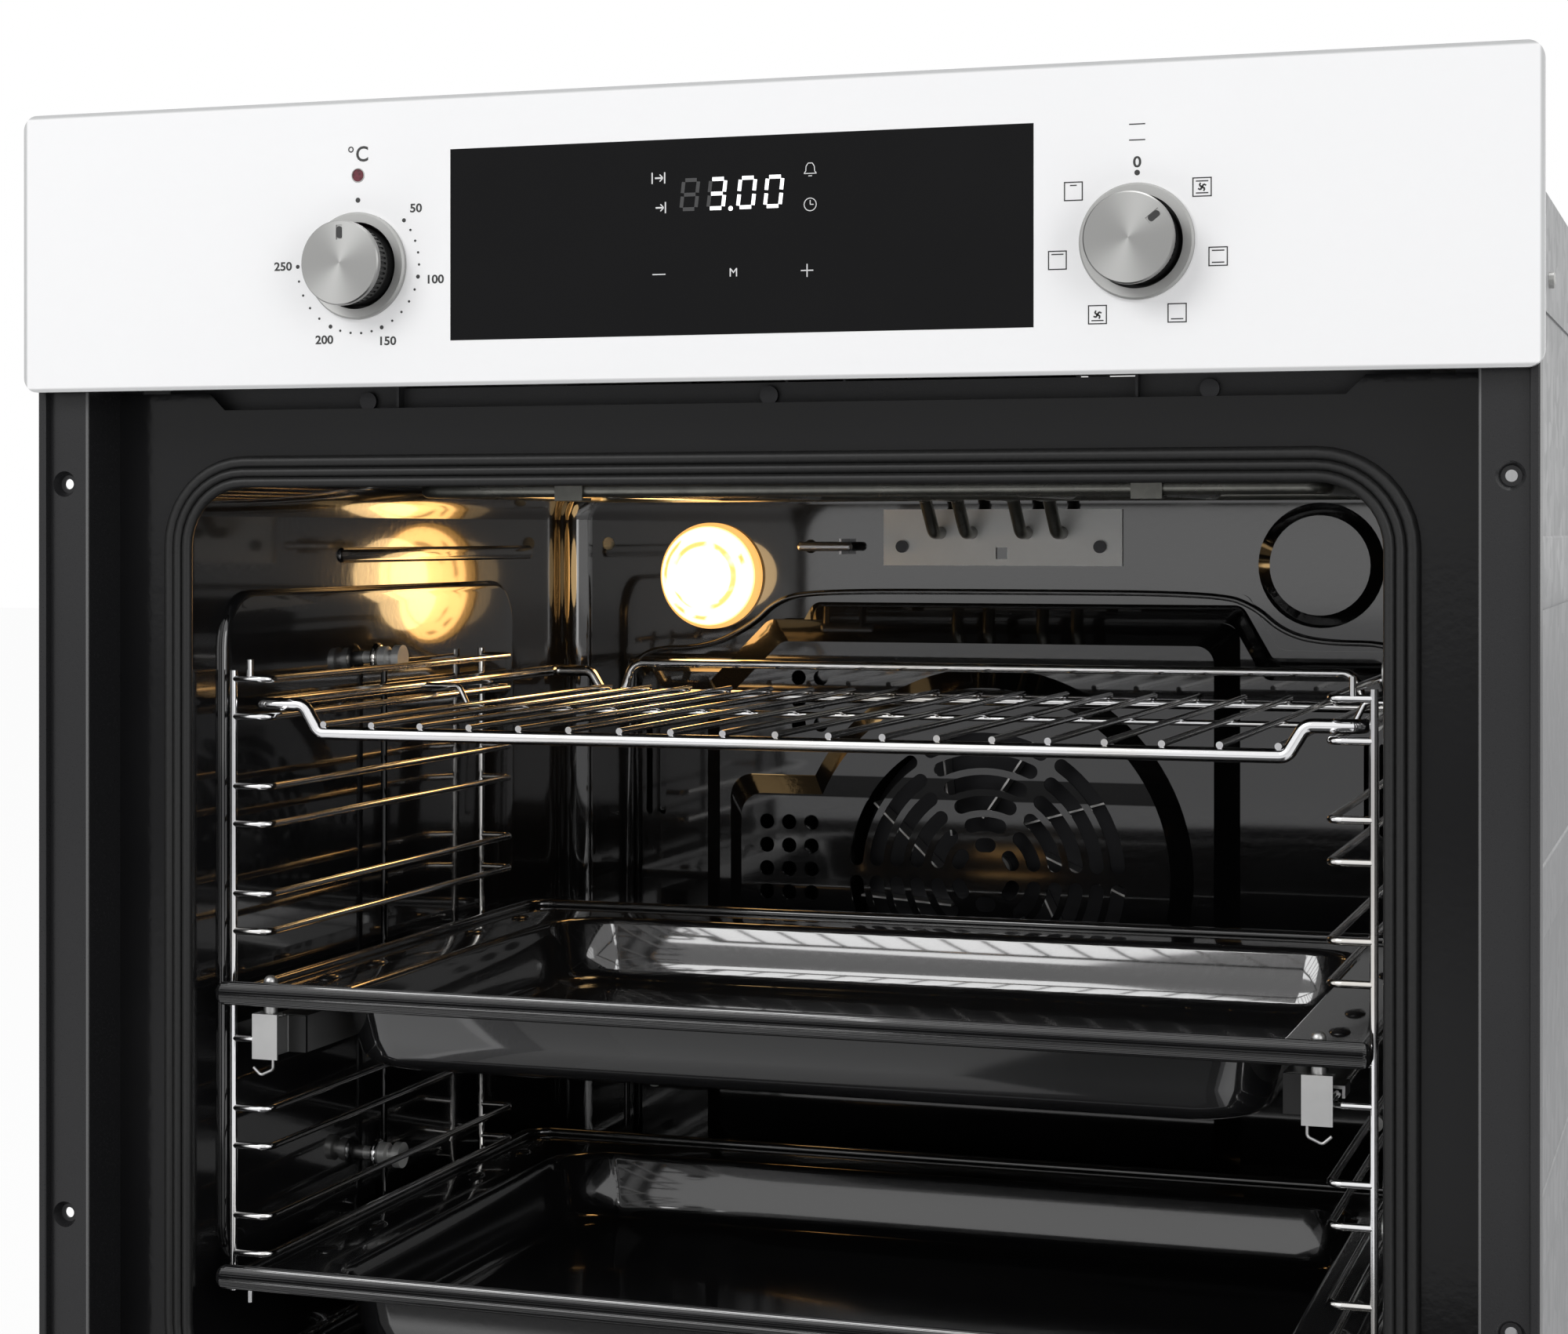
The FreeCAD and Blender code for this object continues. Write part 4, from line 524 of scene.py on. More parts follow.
# -------------------------------- control panel glass
# White back-printed float glass with ground edges. The print behind it is an even warm white
# and the ground edge shows as a thin grey line.
glass_low, glass_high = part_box("control_panel_glass")
panel_face = glass_low.y
rim_width, face_depth = 0.0014, 0.0006
white_glass = Finish("white_printed_glass", Coat_Roughness=0.03, Coat_Weight=0.5)
gx, gy, gz = white_glass.axes()
to_side = glass_high.x - abs(gx)
to_end = 0.5 * (glass_high.z - glass_low.z) - abs(gz - 0.5 * (glass_high.z + glass_low.z))
ground_rim = 1.0 - to_side.math("MINIMUM", to_end).above(rim_width, 0.0004)
behind_face = gy.above(panel_face + face_depth, 0.0002)
glass_white = white_glass.blend(white_glass.noise(6.0), (0.925, 0.925, 0.93), 0.945)
white_glass.vary(ground_rim.math("MAXIMUM", behind_face), glass_white, (0.52, 0.525, 0.525))
white_glass.set("Roughness", 0.06 + ground_rim * 0.3)
white_glass.bump(white_glass.noise(11.0), 0.0002, 0.08)
white_glass.coat(nodes["control_panel_glass"])

# The carrier behind the glass, the display's case and the switch bodies are black moulded
# plastic with a fine spark-eroded texture.
moulded = Finish("black_moulded_plastic")
moulded.vary(moulded.noise(1800.0, detail=2.0), (0.016, 0.016, 0.017), (0.03, 0.03, 0.031),
             (0.42, 0.2), (0.00008, 0.6))
moulded.coat(*[nodes[n] for n in ("cooling_fan_housing", "panel_carrier", "display_module",
                                  "thermostat_body", "selector_body", "terminal_cover")])

# Scales and symbols are screen printed in black on the glass's face. Dots run round the
# thermostat, and small pictures of the heating functions round the selector.
ink = Finish("black_print", Roughness=0.45)
ink.vary(ink.noise(2500.0), 0.012, 0.035)
ink_rise = 0.00008
line_width = 0.00042
facing_user = (math.radians(90), 0.0, 0.0)


def bar(x0, z0, x1, z1, width, y=panel_face, rise=ink_rise):
    """A straight printed line that stands on a surface facing the user."""
    length = math.hypot(x1 - x0, z1 - z0)
    return start("cube", size=1.0, location=((x0 + x1) / 2, y - rise / 2, (z0 + z1) / 2),
                 rotation=(0.0, -math.atan2(z1 - z0, x1 - x0), 0.0), scale=(length, rise, width))


def dot(x, z, radius, y=panel_face, rise=ink_rise):
    """A round printed dot."""
    return start("cylinder", vertices=20, radius=radius, depth=rise, location=(x, y - rise / 2, z),
                 rotation=facing_user)


capital_share = 0.7  # of the type size


def lettering(text, x, z, height, y=panel_face, rise=ink_rise, bold=0.00011, wide=1.13):
    """Upright characters centred on a point, with capitals of the given height."""
    bpy.ops.object.select_all(action="DESELECT")
    bpy.ops.object.text_add(location=(x, y - rise / 2, z), rotation=facing_user)
    letters = bpy.context.object
    letters.data.body = text
    letters.data.align_x = "CENTER"
    letters.data.align_y = "CENTER"
    letters.data.size = height / capital_share
    letters.data.extrude = rise / 2
    letters.data.offset = bold
    letters.data.resolution_u = 4
    letters.scale.x = wide
    only(letters)
    bpy.ops.object.convert(target="MESH")
    return bpy.context.object


cap_low, cap_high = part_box("thermostat_cap")
left_x = (cap_low.x + cap_high.x) / 2
knob_z = (cap_low.z + cap_high.z) / 2
selector_low, selector_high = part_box("selector_cap")
right_x = (selector_low.x + selector_high.x) / 2


def round_knob(centre_x, radius, degrees):
    """A point on a circle round a knob, measured clockwise from the top."""
    angle = math.radians(degrees)
    return centre_x + radius * math.sin(angle), knob_z + radius * math.cos(angle)


printed = []
dial_r = 0.026
large_dot, small_dot = 0.0008, 0.00048
number_height = 0.0032
dots_per_step = 5
scale_marks = ((49.0, "50", 0.0327), (100.6, "100", 0.0332), (157.0, "150", 0.0319),
               (207.0, "200", 0.0319), (271.0, "250", 0.0324))
for i in range((len(scale_marks) - 1) * dots_per_step + 1):
    step, part = divmod(i, dots_per_step)
    begin, end = scale_marks[step][0], scale_marks[min(step + 1, len(scale_marks) - 1)][0]
    printed.append(dot(*round_knob(left_x, dial_r, begin + (end - begin) * part / dots_per_step),
                       small_dot if part else large_dot))
for degrees, text, radius in scale_marks:
    printed.append(lettering(text, *round_knob(left_x, radius, degrees), number_height))
printed.append(dot(left_x, 0.556, 0.001))
printed.append(lettering("C", left_x + 0.0018, 0.5735, 0.0058, wide=0.96))
printed.append(start("torus", major_segments=20, minor_segments=6, major_radius=0.00095,
                     minor_radius=0.00025, rotation=facing_user,
                     location=(left_x - 0.003, panel_face - 0.00002, 0.5757)))
printed.append(dot(right_x, 0.5549, 0.001))
printed.append(lettering("0", right_x, 0.5585, 0.0038))
for z in (0.5721, 0.5665):
    printed.append(bar(right_x - 0.0029, z, right_x + 0.0029, z, line_width))


def function_symbol(cx, cz, top, bottom, fan):
    """A framed square with a line for each element and a four-bladed fan sign."""
    half = 0.00323
    line_z, bottom_half = 0.0021, 0.0022
    blade_tip, blade_bend = 0.00155, 0.00115
    marks = []
    for edge in (-half, half):
        marks.append(bar(cx - half - line_width / 2, cz + edge, cx + half + line_width / 2, cz + edge,
                         line_width))
    for edge in (-half, half):
        marks.append(bar(cx + edge, cz - half, cx + edge, cz + half, line_width))
    if top:
        marks.append(bar(cx - top, cz + line_z, cx + top, cz + line_z, line_width))
    if bottom:
        marks.append(bar(cx - bottom_half, cz - line_z, cx + bottom_half, cz - line_z, line_width))
    if fan:
        for blade in range(4):
            turn, bend = math.radians(20 + 90 * blade), math.radians(58 + 90 * blade)
            tip_x, tip_z = cx + blade_tip * math.cos(turn), cz + blade_tip * math.sin(turn)
            bend_x, bend_z = cx + blade_bend * math.cos(bend), cz + blade_bend * math.sin(bend)
            marks.append(bar(cx, cz, bend_x, bend_z, line_width * 1.5))
            marks.append(bar(bend_x, bend_z, tip_x, tip_z, line_width * 1.3))
    return marks


symbol_r, symbol_lift = 0.0295, 0.0002
full, short = 0.0022, 0.0012
for degrees, top, bottom, fan in ((51.7, full, True, True), (102.3, full, True, False),
                                  (151.0, 0.0, True, False), (209.0, 0.0, True, True),
                                  (258.2, full, False, False), (308.6, short, False, False)):
    symbol_x, symbol_z = round_knob(right_x, symbol_r, degrees)
    printed += function_symbol(symbol_x, symbol_z + symbol_lift, top, bottom, fan)
settle(join(printed, "panel_print"), "housing", ink, 0)


# -------------------------------- display
# A black window printed in the glass. Behind it are a four-digit clock with seven-segment
# digits, lit white, four signs and three touch keys.
window_x0, window_x1, window_z0, window_z1 = -0.1092, 0.1197, 0.5009, 0.5741
window_rise, segment_rise = 0.00008, 0.00005
window = Finish("display_window", Specular_IOR_Level=0.06)
window.vary(window.noise(18.0), (0.0075, 0.0075, 0.008), (0.010, 0.010, 0.0105), (0.08, 0.06))
window_pane = start("cube", size=1.0, scale=(window_x1 - window_x0, window_rise, window_z1 - window_z0),
                    location=((window_x0 + window_x1) / 2, panel_face - window_rise / 2,
                              (window_z0 + window_z1) / 2))
fix_place(window_pane)
bpy.ops.object.mode_set(mode="EDIT")
bpy.ops.mesh.select_all(action="SELECT")
bpy.ops.mesh.bevel(offset=window_rise / 4, segments=1)
bpy.ops.object.mode_set(mode="OBJECT")
window_pane.name = "display_window"
settle(window_pane, "housing", window, 0)

lit = Finish("lit_segments", Base_Color=(0.9, 0.9, 0.9), Roughness=0.4, Emission_Strength=1.0)
lit.set("Emission Color", lit.blend(lit.noise(900.0), (0.86, 0.88, 0.9), 1.0))
unlit = Finish("unlit_segments", Roughness=0.3)
unlit.vary(unlit.noise(600.0), (0.03, 0.03, 0.031), (0.042, 0.042, 0.043))
sign_white = Finish("sign_print", Base_Color=(0.4, 0.4, 0.4), Roughness=0.4, Emission_Strength=0.36)
sign_white.set("Emission Color", sign_white.blend(sign_white.noise(800.0), (0.75, 0.75, 0.77), 1.0))
window_face = panel_face - window_rise


def digit(x, z, height, segments):
    """The chosen segments of one slanted digit whose middle is at (x, z)."""
    half_w, half_h, thick, gap, lean = height * 0.27, height * 0.5, height * 0.13, height * 0.06, 0.09
    marks = []
    for name in segments:
        x0, z0, x1, z1 = {"a": (-half_w, half_h, half_w, half_h), "g": (-half_w, 0, half_w, 0),
                          "d": (-half_w, -half_h, half_w, -half_h), "b": (half_w, half_h, half_w, 0),
                          "c": (half_w, 0, half_w, -half_h), "f": (-half_w, half_h, -half_w, 0),
                          "e": (-half_w, 0, -half_w, -half_h)}[name]
        length = math.hypot(x1 - x0, z1 - z0)
        cut_x, cut_z = (x1 - x0) / length * gap, (z1 - z0) / length * gap
        marks.append(bar(x + x0 + cut_x + lean * z0, z + z0 + cut_z, x + x1 - cut_x + lean * z1,
                         z + z1 - cut_z, thick, window_face, segment_rise))
    return marks


digit_z, digit_h = 0.5532, 0.0108
lit_marks = digit(-0.0008, digit_z, digit_h, "abcdg")
lit_marks += digit(0.0109, digit_z, digit_h, "abcdef")
lit_marks += digit(0.0215, digit_z, digit_h, "abcdef")
lit_marks.append(dot(0.0046, digit_z - 0.0057, 0.0009, window_face, segment_rise))
settle(join(lit_marks, "clock_digits"), "housing", lit, 0)
dim_marks = digit(-0.0115, digit_z, digit_h, "abcdefg") + digit(-0.0008, digit_z, digit_h, "ef")
settle(join(dim_marks, "clock_unlit"), "housing", unlit, 0)

signs = []


def sign_bar(x0, z0, x1, z1, width=line_width):
    """A lit line of a sign, in front of the window."""
    signs.append(bar(x0, z0, x1, z1, width, window_face, segment_rise))


# Two arrow signs on the left, the upper one between two bars.
for base_x, base_z, both in ((-0.0241, 0.5598, True), (-0.0238, 0.5487, False)):
    sign_bar(base_x - 0.0013, base_z, base_x + 0.0019, base_z, 0.0006)
    for rise in (0.0013, -0.0013):
        sign_bar(base_x + 0.0006, base_z + rise, base_x + 0.0019, base_z)
    for bar_x in (base_x + 0.0026, base_x - 0.0024)[:2 if both else 1]:
        sign_bar(bar_x, base_z - 0.0021, bar_x, base_z + 0.0021, 0.0005)

# A clock face with two hands, and over it a bell.
sign_x, clock_z, bell_z, clock_r, thin = 0.0356, 0.5479, 0.5609, 0.00235, 0.0003
rim_parts = 18
for part in range(rim_parts):
    a0, a1 = (math.radians((part + i) * 360 / rim_parts) for i in (0, 1))
    sign_bar(sign_x + clock_r * math.cos(a0), clock_z + clock_r * math.sin(a0),
             sign_x + clock_r * math.cos(a1), clock_z + clock_r * math.sin(a1), thin)
sign_bar(sign_x, clock_z, sign_x, clock_z + 0.0016, thin)
sign_bar(sign_x, clock_z, sign_x + 0.0013, clock_z, thin)
bell = ((-0.0024, -0.0016), (-0.0017, -0.0007), (-0.0016, 0.001), (-0.0008, 0.0022), (0.0008, 0.0022),
        (0.0016, 0.001), (0.0017, -0.0007), (0.0024, -0.0016), (-0.0024, -0.0016))
for (x0, z0), (x1, z1) in zip(bell, bell[1:]):
    sign_bar(sign_x + x0, bell_z + z0, sign_x + x1, bell_z + z1, thin)
sign_bar(sign_x - 0.0007, bell_z - 0.0025, sign_x + 0.0007, bell_z - 0.0025, thin)

# The three touch keys: less, menu and more.
sign_bar(-0.0264, 0.5238, -0.0212, 0.5238, 0.0004)
sign_bar(0.0320, 0.5237, 0.0368, 0.5237, 0.0004)
sign_bar(0.0344, 0.5213, 0.0344, 0.5261, 0.0004)
signs.append(lettering("M", 0.0057, 0.5236, 0.0032, window_face, segment_rise, 0.0, 1.0))
settle(join(signs, "display_signs"), "housing", sign_white, 0)

# The pilot lamp is a red lens over a neon in a small chromed ring.
red_lens = Finish("red_lens", Roughness=0.16, Emission_Strength=0.05)
lens_grain = red_lens.cells(900.0, output="Distance")
red_lens.vary(lens_grain, (0.03, 0.008, 0.012), (0.12, 0.02, 0.035), None, (0.0001, 0.6))
red_lens.set("Emission Color", red_lens.blend(lens_grain, (0.4, 0.02, 0.03), (1.0, 0.1, 0.12)))
red_lens.coat(nodes["indicator_lamp"])
lens_ring = start("torus", major_segments=40, minor_segments=10, major_radius=0.00262,
                  minor_radius=0.00022, location=(left_x, panel_face, 0.5656), rotation=facing_user)
lens_ring.name = "pilot_lamp_ring"


# -------------------------------- knobs
# Turned aluminium caps and collars, faced on a lathe with fine rings. The light they catch in two
# opposite fans is a painted highlight and shade in the colour. The necks are black plastic with a
# knurled band; shafts are plain steel.
def faced_metal(name, centre_x, centre_z, tint, roughness, sheen_contrast):
    """Bare metal with turning marks round an axis that points at the user, and a painted highlight that
    lightens two opposite fans round it.
    """
    metal = Finish(name, Metallic=1.0)
    px, _, pz = metal.axes(metal.place(offset=(-centre_x, 0.0, -centre_z)))
    radius = (px * px + pz * pz) ** 0.5
    ring_place = metal.node("ShaderNodeCombineXYZ", {}, {0: radius * 5200.0, 1: 0.0, 2: 0.0})
    rings = metal.noise(1.0, ring_place, detail=4.0, roughness=0.7)
    # painted highlight and shade: the colour lightens and darkens in two opposite fans round the axis
    fan = ((pz.math("ARCTAN2", px) - 1.25) * 2.0).math("COSINE") * 0.5 + 0.5
    dark = tuple(c * (1.0 - sheen_contrast) for c in tint)
    metal.vary((fan ** 2.0) * 0.7 + rings * 0.3, dark, tint)
    metal.set("Roughness", roughness - 0.05 + rings * 0.12)
    metal.bump(rings, 0.00003, 0.45)
    return metal


for knob, centre_x in (("thermostat", left_x), ("selector", right_x)):
    cap_metal = faced_metal(knob + "_faced_cap", centre_x, knob_z, (0.5, 0.5, 0.49), 0.3, 0.5)
    cap_metal.coat(nodes[knob + "_cap"])
    ring_metal = faced_metal(knob + "_faced_collar", centre_x, knob_z, (0.52, 0.52, 0.51), 0.58, 0.15)
    ring_metal.coat(nodes[knob + "_collar"])
settle(lens_ring, "housing", ring_metal, 60.0)

neck = Finish("knurled_black")
neck.vary(neck.noise(1500.0), 0.008, 0.02, (0.14, 0.14))
neck.coat(nodes["thermostat_grip"], nodes["selector_grip"])

# The pointer is a black enamelled pocket pressed into each cap's face.
pointer_black = Finish("pointer_black", Roughness=0.35)
pointer_black.vary(pointer_black.noise(1500.0), 0.014, 0.03)
pocket_radius, half_length, half_width, half_depth = 0.0116, 0.0023, 0.00115, 0.00023
for knob, cx, turn in (("thermostat", left_x, 0.0), ("selector", right_x, 360.0 / 7)):
    pocket = start("cube", size=2.0, scale=(half_width, half_depth, half_length))
    fix_place(pocket)
    pick(pocket, "edges", lambda edge: across(pocket, edge, 1) > half_depth)
    bpy.ops.mesh.bevel(offset=half_width * 0.97, segments=8)
    bpy.ops.object.mode_set(mode="OBJECT")
    pocket.matrix_world = (Matrix.Translation((cx, cap_low.y + 0.00027, knob_z))
                           @ Matrix.Rotation(math.radians(turn), 4, "Y")
                           @ Matrix.Translation((0.0, 0.0, pocket_radius)))
    pocket.name = knob + "_pointer"
    settle(pocket, knob + "_knob", pointer_black, 30.0)

# Spindles, hinge arms, the probe and the cooling fan's wheel are plain steel.
bright_steel = Finish("bright_steel", Metallic=1.0)
steel_marks = bright_steel.noise(60.0, bright_steel.place(scale=(1.0, 12.0, 1.0)))
bright_steel.vary(steel_marks, (0.46, 0.46, 0.47), (0.66, 0.66, 0.67), (0.22, 0.2), (0.00005, 0.3))
bright_steel.coat(*[nodes[n] for n in ("thermostat_spindle", "selector_spindle", "hinge_arms",
                                       "temperature_probe", "cooling_fan_wheel")])

# The convection fan's disc, further back than its pressed blades, is coloured nearly black; the blades
# stay brighter.
fan_steel = Finish("fan_steel_dark_disc", Metallic=0.9)
fan_heat = fan_steel.noise(40.0)
fan_blades = fan_steel.blend(fan_heat, (0.6, 0.59, 0.57), (0.76, 0.76, 0.75))
fan_steel.vary(fan_steel.axes()[1].above(0.4135, 0.0005), fan_blades, (0.03, 0.03, 0.032))
fan_steel.set("Roughness", 0.28 + fan_heat * 0.18)
fan_steel.coat(nodes["convection_fan_wheel"])

# The turned thumb nuts are nickel plated, a little duller than the wires.
nickel = Finish("nickel_plated_nuts", Metallic=0.6)
nickel.vary(nickel.noise(300.0), (0.75, 0.75, 0.73), (0.92, 0.92, 0.9), (0.3, 0.15))
nickel.coat(nodes["ladder_nuts"])


# -------------------------------- shelf ladders, shelf and runners
# Chrome-plated wire, welded where it crosses. The plating is bright, with a faint straw tint from heat.
# The upright wire that ties each ladder's loops, out by the wall, is coloured dark.
chrome = Finish("chrome_plating", Metallic=1.0)
heat = chrome.noise(9.0, detail=2.0)
mottle = chrome.noise(220.0)
tie_x, tie_y, tie_half_width = 0.2318, 0.1761, 0.0025
wx, wy, _ = chrome.axes()
tie_wire = abs(wx).above(tie_x, 0.0002) * (tie_half_width - abs(wy - tie_y)).above(0.0, 0.0002)
plating = chrome.blend(heat.above(0.56, 0.12), (0.84, 0.84, 0.85), (0.74, 0.71, 0.66))
chrome.vary(tie_wire, plating, 0.05)
chrome.set("Roughness", 0.05 + mottle * 0.1)
chrome.bump(mottle, 0.00008, 0.2)
chrome.coat(*[nodes[n] for n in ("ladder_right", "ladder_left", "wire_rack")])

# The telescopic runners are rolled from zinc-plated strip. Behind each front plate the slide's link is
# darkened with painted shade, where the tray shadows it.
runner_zinc = Finish("zinc_plated_runner", Metallic=0.9)
link_x, link_y = 0.2083, 0.0375
rx, ry, _ = runner_zinc.axes()
rolled = runner_zinc.noise(70.0, runner_zinc.place(scale=(1.0, 0.1, 1.0)))
# painted shade: darkens the slide's link behind each front plate
painted_link_shade = (link_x - abs(rx)).above(0.0, 0.0001) * (link_y - ry).above(0.0, 0.0001)
runner_zinc.vary(painted_link_shade, runner_zinc.blend(rolled, 0.42, (0.56, 0.56, 0.55)), 0.03)
runner_zinc.set("Roughness", 0.28 + rolled * 0.16)
runner_zinc.bump(rolled, 0.00005, 0.3)
runner_zinc.coat(*[nodes[n] for n in ("runner_rails", "runner_middles", "runner_slides")])


# -------------------------------- trays
# Each tray is drawn from one steel sheet and enamelled black: sloping walls with wide
# corner radii, a flat flange with pressed dimples, rolled edges and a thick rolled front lip.
tray_enamel = enamel("tray_enamel", (0.009, 0.009, 0.0095), 0.16, 0.0005)


def pick_edges(piece, test):
    """Opens a piece for editing with only the edges selected whose two ends pass a test."""
    bpy.ops.object.mode_set(mode="OBJECT")
    for element in (piece.data.polygons, piece.data.edges, piece.data.vertices):
        for item in element:
            item.select = False
    for edge in piece.data.edges:
        ends = [piece.data.vertices[i].co for i in edge.vertices]
        edge.select = test(ends[0]) and test(ends[1])
        if edge.select:
            for i in edge.vertices:
                piece.data.vertices[i].select = True
    bpy.ops.object.mode_set(mode="EDIT")
    bpy.ops.mesh.select_mode(type="EDGE")


def tray(name, body):
    """A pan with a flange round it, a rolled edge, a front lip and four dimples on each side."""
    low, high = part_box(name)
    pan_half, pan_y0, pan_y1 = 0.198, 0.042, 0.308
    out_half, out_y0, out_y1 = 0.2288, 0.024, 0.338
    sheet, pan_depth, corner_radius, flange_roll = 0.0012, 0.030, 0.0262, 0.0024
    top = low.z + pan_depth + sheet
    middle = (pan_y0 + pan_y1) / 2
    half_depth = (pan_y1 - pan_y0) / 2
    pan_centre = (0.0, middle, top)
    piece = start("plane", size=2.0, location=pan_centre)
    piece.scale = (pan_half, half_depth, 1.0)
    fix_place(piece)
    bpy.ops.object.mode_set(mode="EDIT")
    bpy.ops.mesh.select_mode(type="VERT")
    bpy.ops.mesh.select_all(action="SELECT")
    bpy.ops.mesh.bevel(offset=corner_radius, segments=10, affect="VERTICES")
    bpy.ops.mesh.select_mode(type="FACE")
    bpy.ops.mesh.select_all(action="SELECT")
    # Down a rounded rim, a straight sloping wall and a wide rounded foot: each step's drop and
    # how far it draws in.
    for drop, shrink in ((0.0003, 0.0012), (0.0012, 0.0011), (0.0017, 0.0008), (0.0148, 0.0032),
                         (0.0063, 0.0015), (0.0022, 0.0012), (0.0021, 0.0024), (0.0014, 0.0031),
                         (0.0005, 0.0036)):
        bpy.ops.mesh.extrude_region_move(TRANSFORM_OT_translate={"value": (0.0, 0.0, -drop)})
        bpy.ops.transform.resize(value=((pan_half - shrink) / pan_half,
                                        (half_depth - shrink) / half_depth, 1.0),
                                 center_override=pan_centre)
    pick(piece, "polygons", lambda polygon: abs(polygon.center.z - top) < 1e-6)
    bpy.ops.mesh.delete(type="ONLY_FACE")
    pick_edges(piece, lambda co: abs(co.z - top) < 1e-6)
    bpy.ops.mesh.extrude_region_move(TRANSFORM_OT_translate={"value": (0.0, 0.0, 0.0)})
    bpy.ops.transform.resize(value=(out_half / pan_half, (out_y1 - out_y0) / (pan_y1 - pan_y0), 1.0),
                             center_override=pan_centre)
    bpy.ops.transform.translate(value=(0.0, (out_y0 + out_y1) / 2 - middle, 0.0))
    bpy.ops.mesh.select_all(action="SELECT")
    bpy.ops.mesh.normals_make_consistent(inside=False)
    bpy.ops.object.mode_set(mode="OBJECT")
    pan_floor = min(piece.data.polygons, key=lambda polygon: polygon.center.z)
    if pan_floor.normal.z < 0.0:
        bpy.ops.object.mode_set(mode="EDIT")
        bpy.ops.mesh.select_all(action="SELECT")
        bpy.ops.mesh.flip_normals()
        bpy.ops.object.mode_set(mode="OBJECT")
    wall = piece.modifiers.new("wall", "SOLIDIFY")
    wall.thickness = sheet
    wall.offset = -1.0
    only(piece)
    bpy.ops.object.modifier_apply(modifier="wall")
    parts = [piece]
    roll = rounded_loop(name + "_roll", -out_half, out_half, out_y0, out_y1, 0.012, 0.0)
    for point in roll.data.splines[0].bezier_points:
        for handle in ("handle_left", "handle_right", "co"):
            spot = getattr(point, handle).copy()
            setattr(point, handle, Vector((spot.x, spot.z, top + sheet)))
    parts.append(tube(roll, flange_roll))
    lip_radius, lip_lift, lip_round, dimple_x = 0.0039, 0.0031, 0.0033, 0.2145
    lip = start("cylinder", vertices=32, radius=lip_radius, depth=2 * high.x,
                location=(0.0, out_y0, top - sheet + lip_lift), rotation=(0.0, math.radians(90), 0.0))
    fix_place(lip)
    pick_edges(lip, lambda co: abs(co.x) > high.x - 1e-5)
    bpy.ops.mesh.bevel(offset=lip_round, segments=6)
    bpy.ops.object.mode_set(mode="OBJECT")
    parts.append(lip)
    for side in (-1, 1):
        for y in (0.085, 0.13, 0.235, 0.29):
            parts.append(start("uv_sphere", segments=20, ring_count=10, radius=1.0,
                               location=(side * dimple_x, y, top), scale=(0.0042, 0.0075, 0.0019)))
    made = join(parts, name + "_pressing")
    settle(made, body, tray_enamel, 40.0)
    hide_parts(name)


tray("upper_tray", "tray_carriage")
tray("lower_tray", "drip_tray")


# -------------------------------- elements, probe and flange
# Tubular elements: steel sheath, oxidised olive to dark grey by heat. They are brazed into
# a bright plated flange with two screws.
sheath = Finish("oxidised_sheath", Metallic=0.8)
sheath.vary(sheath.noise(120.0), (0.13, 0.13, 0.12), (0.28, 0.28, 0.25), None, (0.0001, 0.5))
sheath.set("Roughness", 0.2 + sheath.noise(16.0) * 0.16)
sheath.coat(nodes["top_heater"], nodes["grill_heater"], nodes["bottom_heater"], nodes["heater_clips"])

plated = Finish("plated_flange", Metallic=0.3)
speckle = plated.noise(700.0)
plated.vary(plated.noise(45.0), (0.78, 0.78, 0.76), (0.9, 0.9, 0.88))
plated.set("Roughness", 0.32 + speckle * 0.2)
plated.bump(speckle, 0.00006, 0.5)
plated.coat(nodes["heater_flange"])


# -------------------------------- oven lamp
# Pressed glass dome over a small warm bulb. The dome has wavy facets that scatter the light,
# so that it glows nearly white in the middle and amber at its rim.
lamp_low, lamp_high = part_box("lamp_glass")
lamp_x, lamp_z = (lamp_low.x + lamp_high.x) / 2, (lamp_low.z + lamp_high.z) / 2
glow = Finish("glowing_lamp_glass", Base_Color=(0.9, 0.75, 0.5), Roughness=0.1, Emission_Strength=6.4)
qx, _, qz = glow.axes(glow.place(offset=(-lamp_x, 0.0, -lamp_z)))
from_axis = (qx * qx + qz * qz) ** 0.5
swirl = glow.noise(60.0, detail=2.0)
inner_r, inner_half_width, outer_r, outer_half_width, rim_r = 0.0168, 0.0013, 0.0222, 0.001, 0.0258
in_inner = (inner_half_width - abs(from_axis - inner_r)).above(0.0, 0.0004)
in_outer = (outer_half_width - abs(from_axis - outer_r)).above(0.0, 0.0004)
inner_arc, outer_arc = in_inner * swirl.above(0.54, 0.03), in_outer * (1.0 - swirl).above(0.52, 0.03)
core = glow.blend(inner_arc.math("MAXIMUM", outer_arc), (1.0, 0.51, 0.155), (0.155, 0.088, 0.022))
glow.set("Emission Color", glow.blend(from_axis.above(rim_r, 0.0005), core, (0.165, 0.083, 0.021)))
glow.bump(glow.cells(95.0, output="Distance", feature="SMOOTH_F1"), 0.0015, 0.5)
glow.coat(nodes["lamp_glass"])
filament = Finish("lit_bulb", Base_Color=(1.0, 0.9, 0.7), Roughness=0.2, Emission_Strength=2.0)
filament.set("Emission Color", filament.blend(filament.noise(80.0), (1.0, 0.8, 0.5), (1.0, 0.95, 0.8)))
filament.coat(nodes["lamp_bulb"])
steatite = Finish("steatite_socket", Roughness=0.55)
steatite.vary(steatite.noise(200.0), (0.76, 0.74, 0.68), (0.86, 0.84, 0.79))
steatite.bump(steatite.noise(800.0), 0.00008, 0.4)
steatite.coat(nodes["lamp_holder"])
oven_light_data = bpy.data.lights.new("oven_light", "POINT")
oven_light_data.energy = 0.06
oven_light_data.color = (1.0, 0.66, 0.3)
oven_light_data.shadow_soft_size = 0.02
oven_light = bpy.data.objects.new("oven_light", oven_light_data)
bpy.context.scene.collection.objects.link(oven_light)
oven_light.location = (lamp_x, lamp_low.y - 0.03, lamp_z)


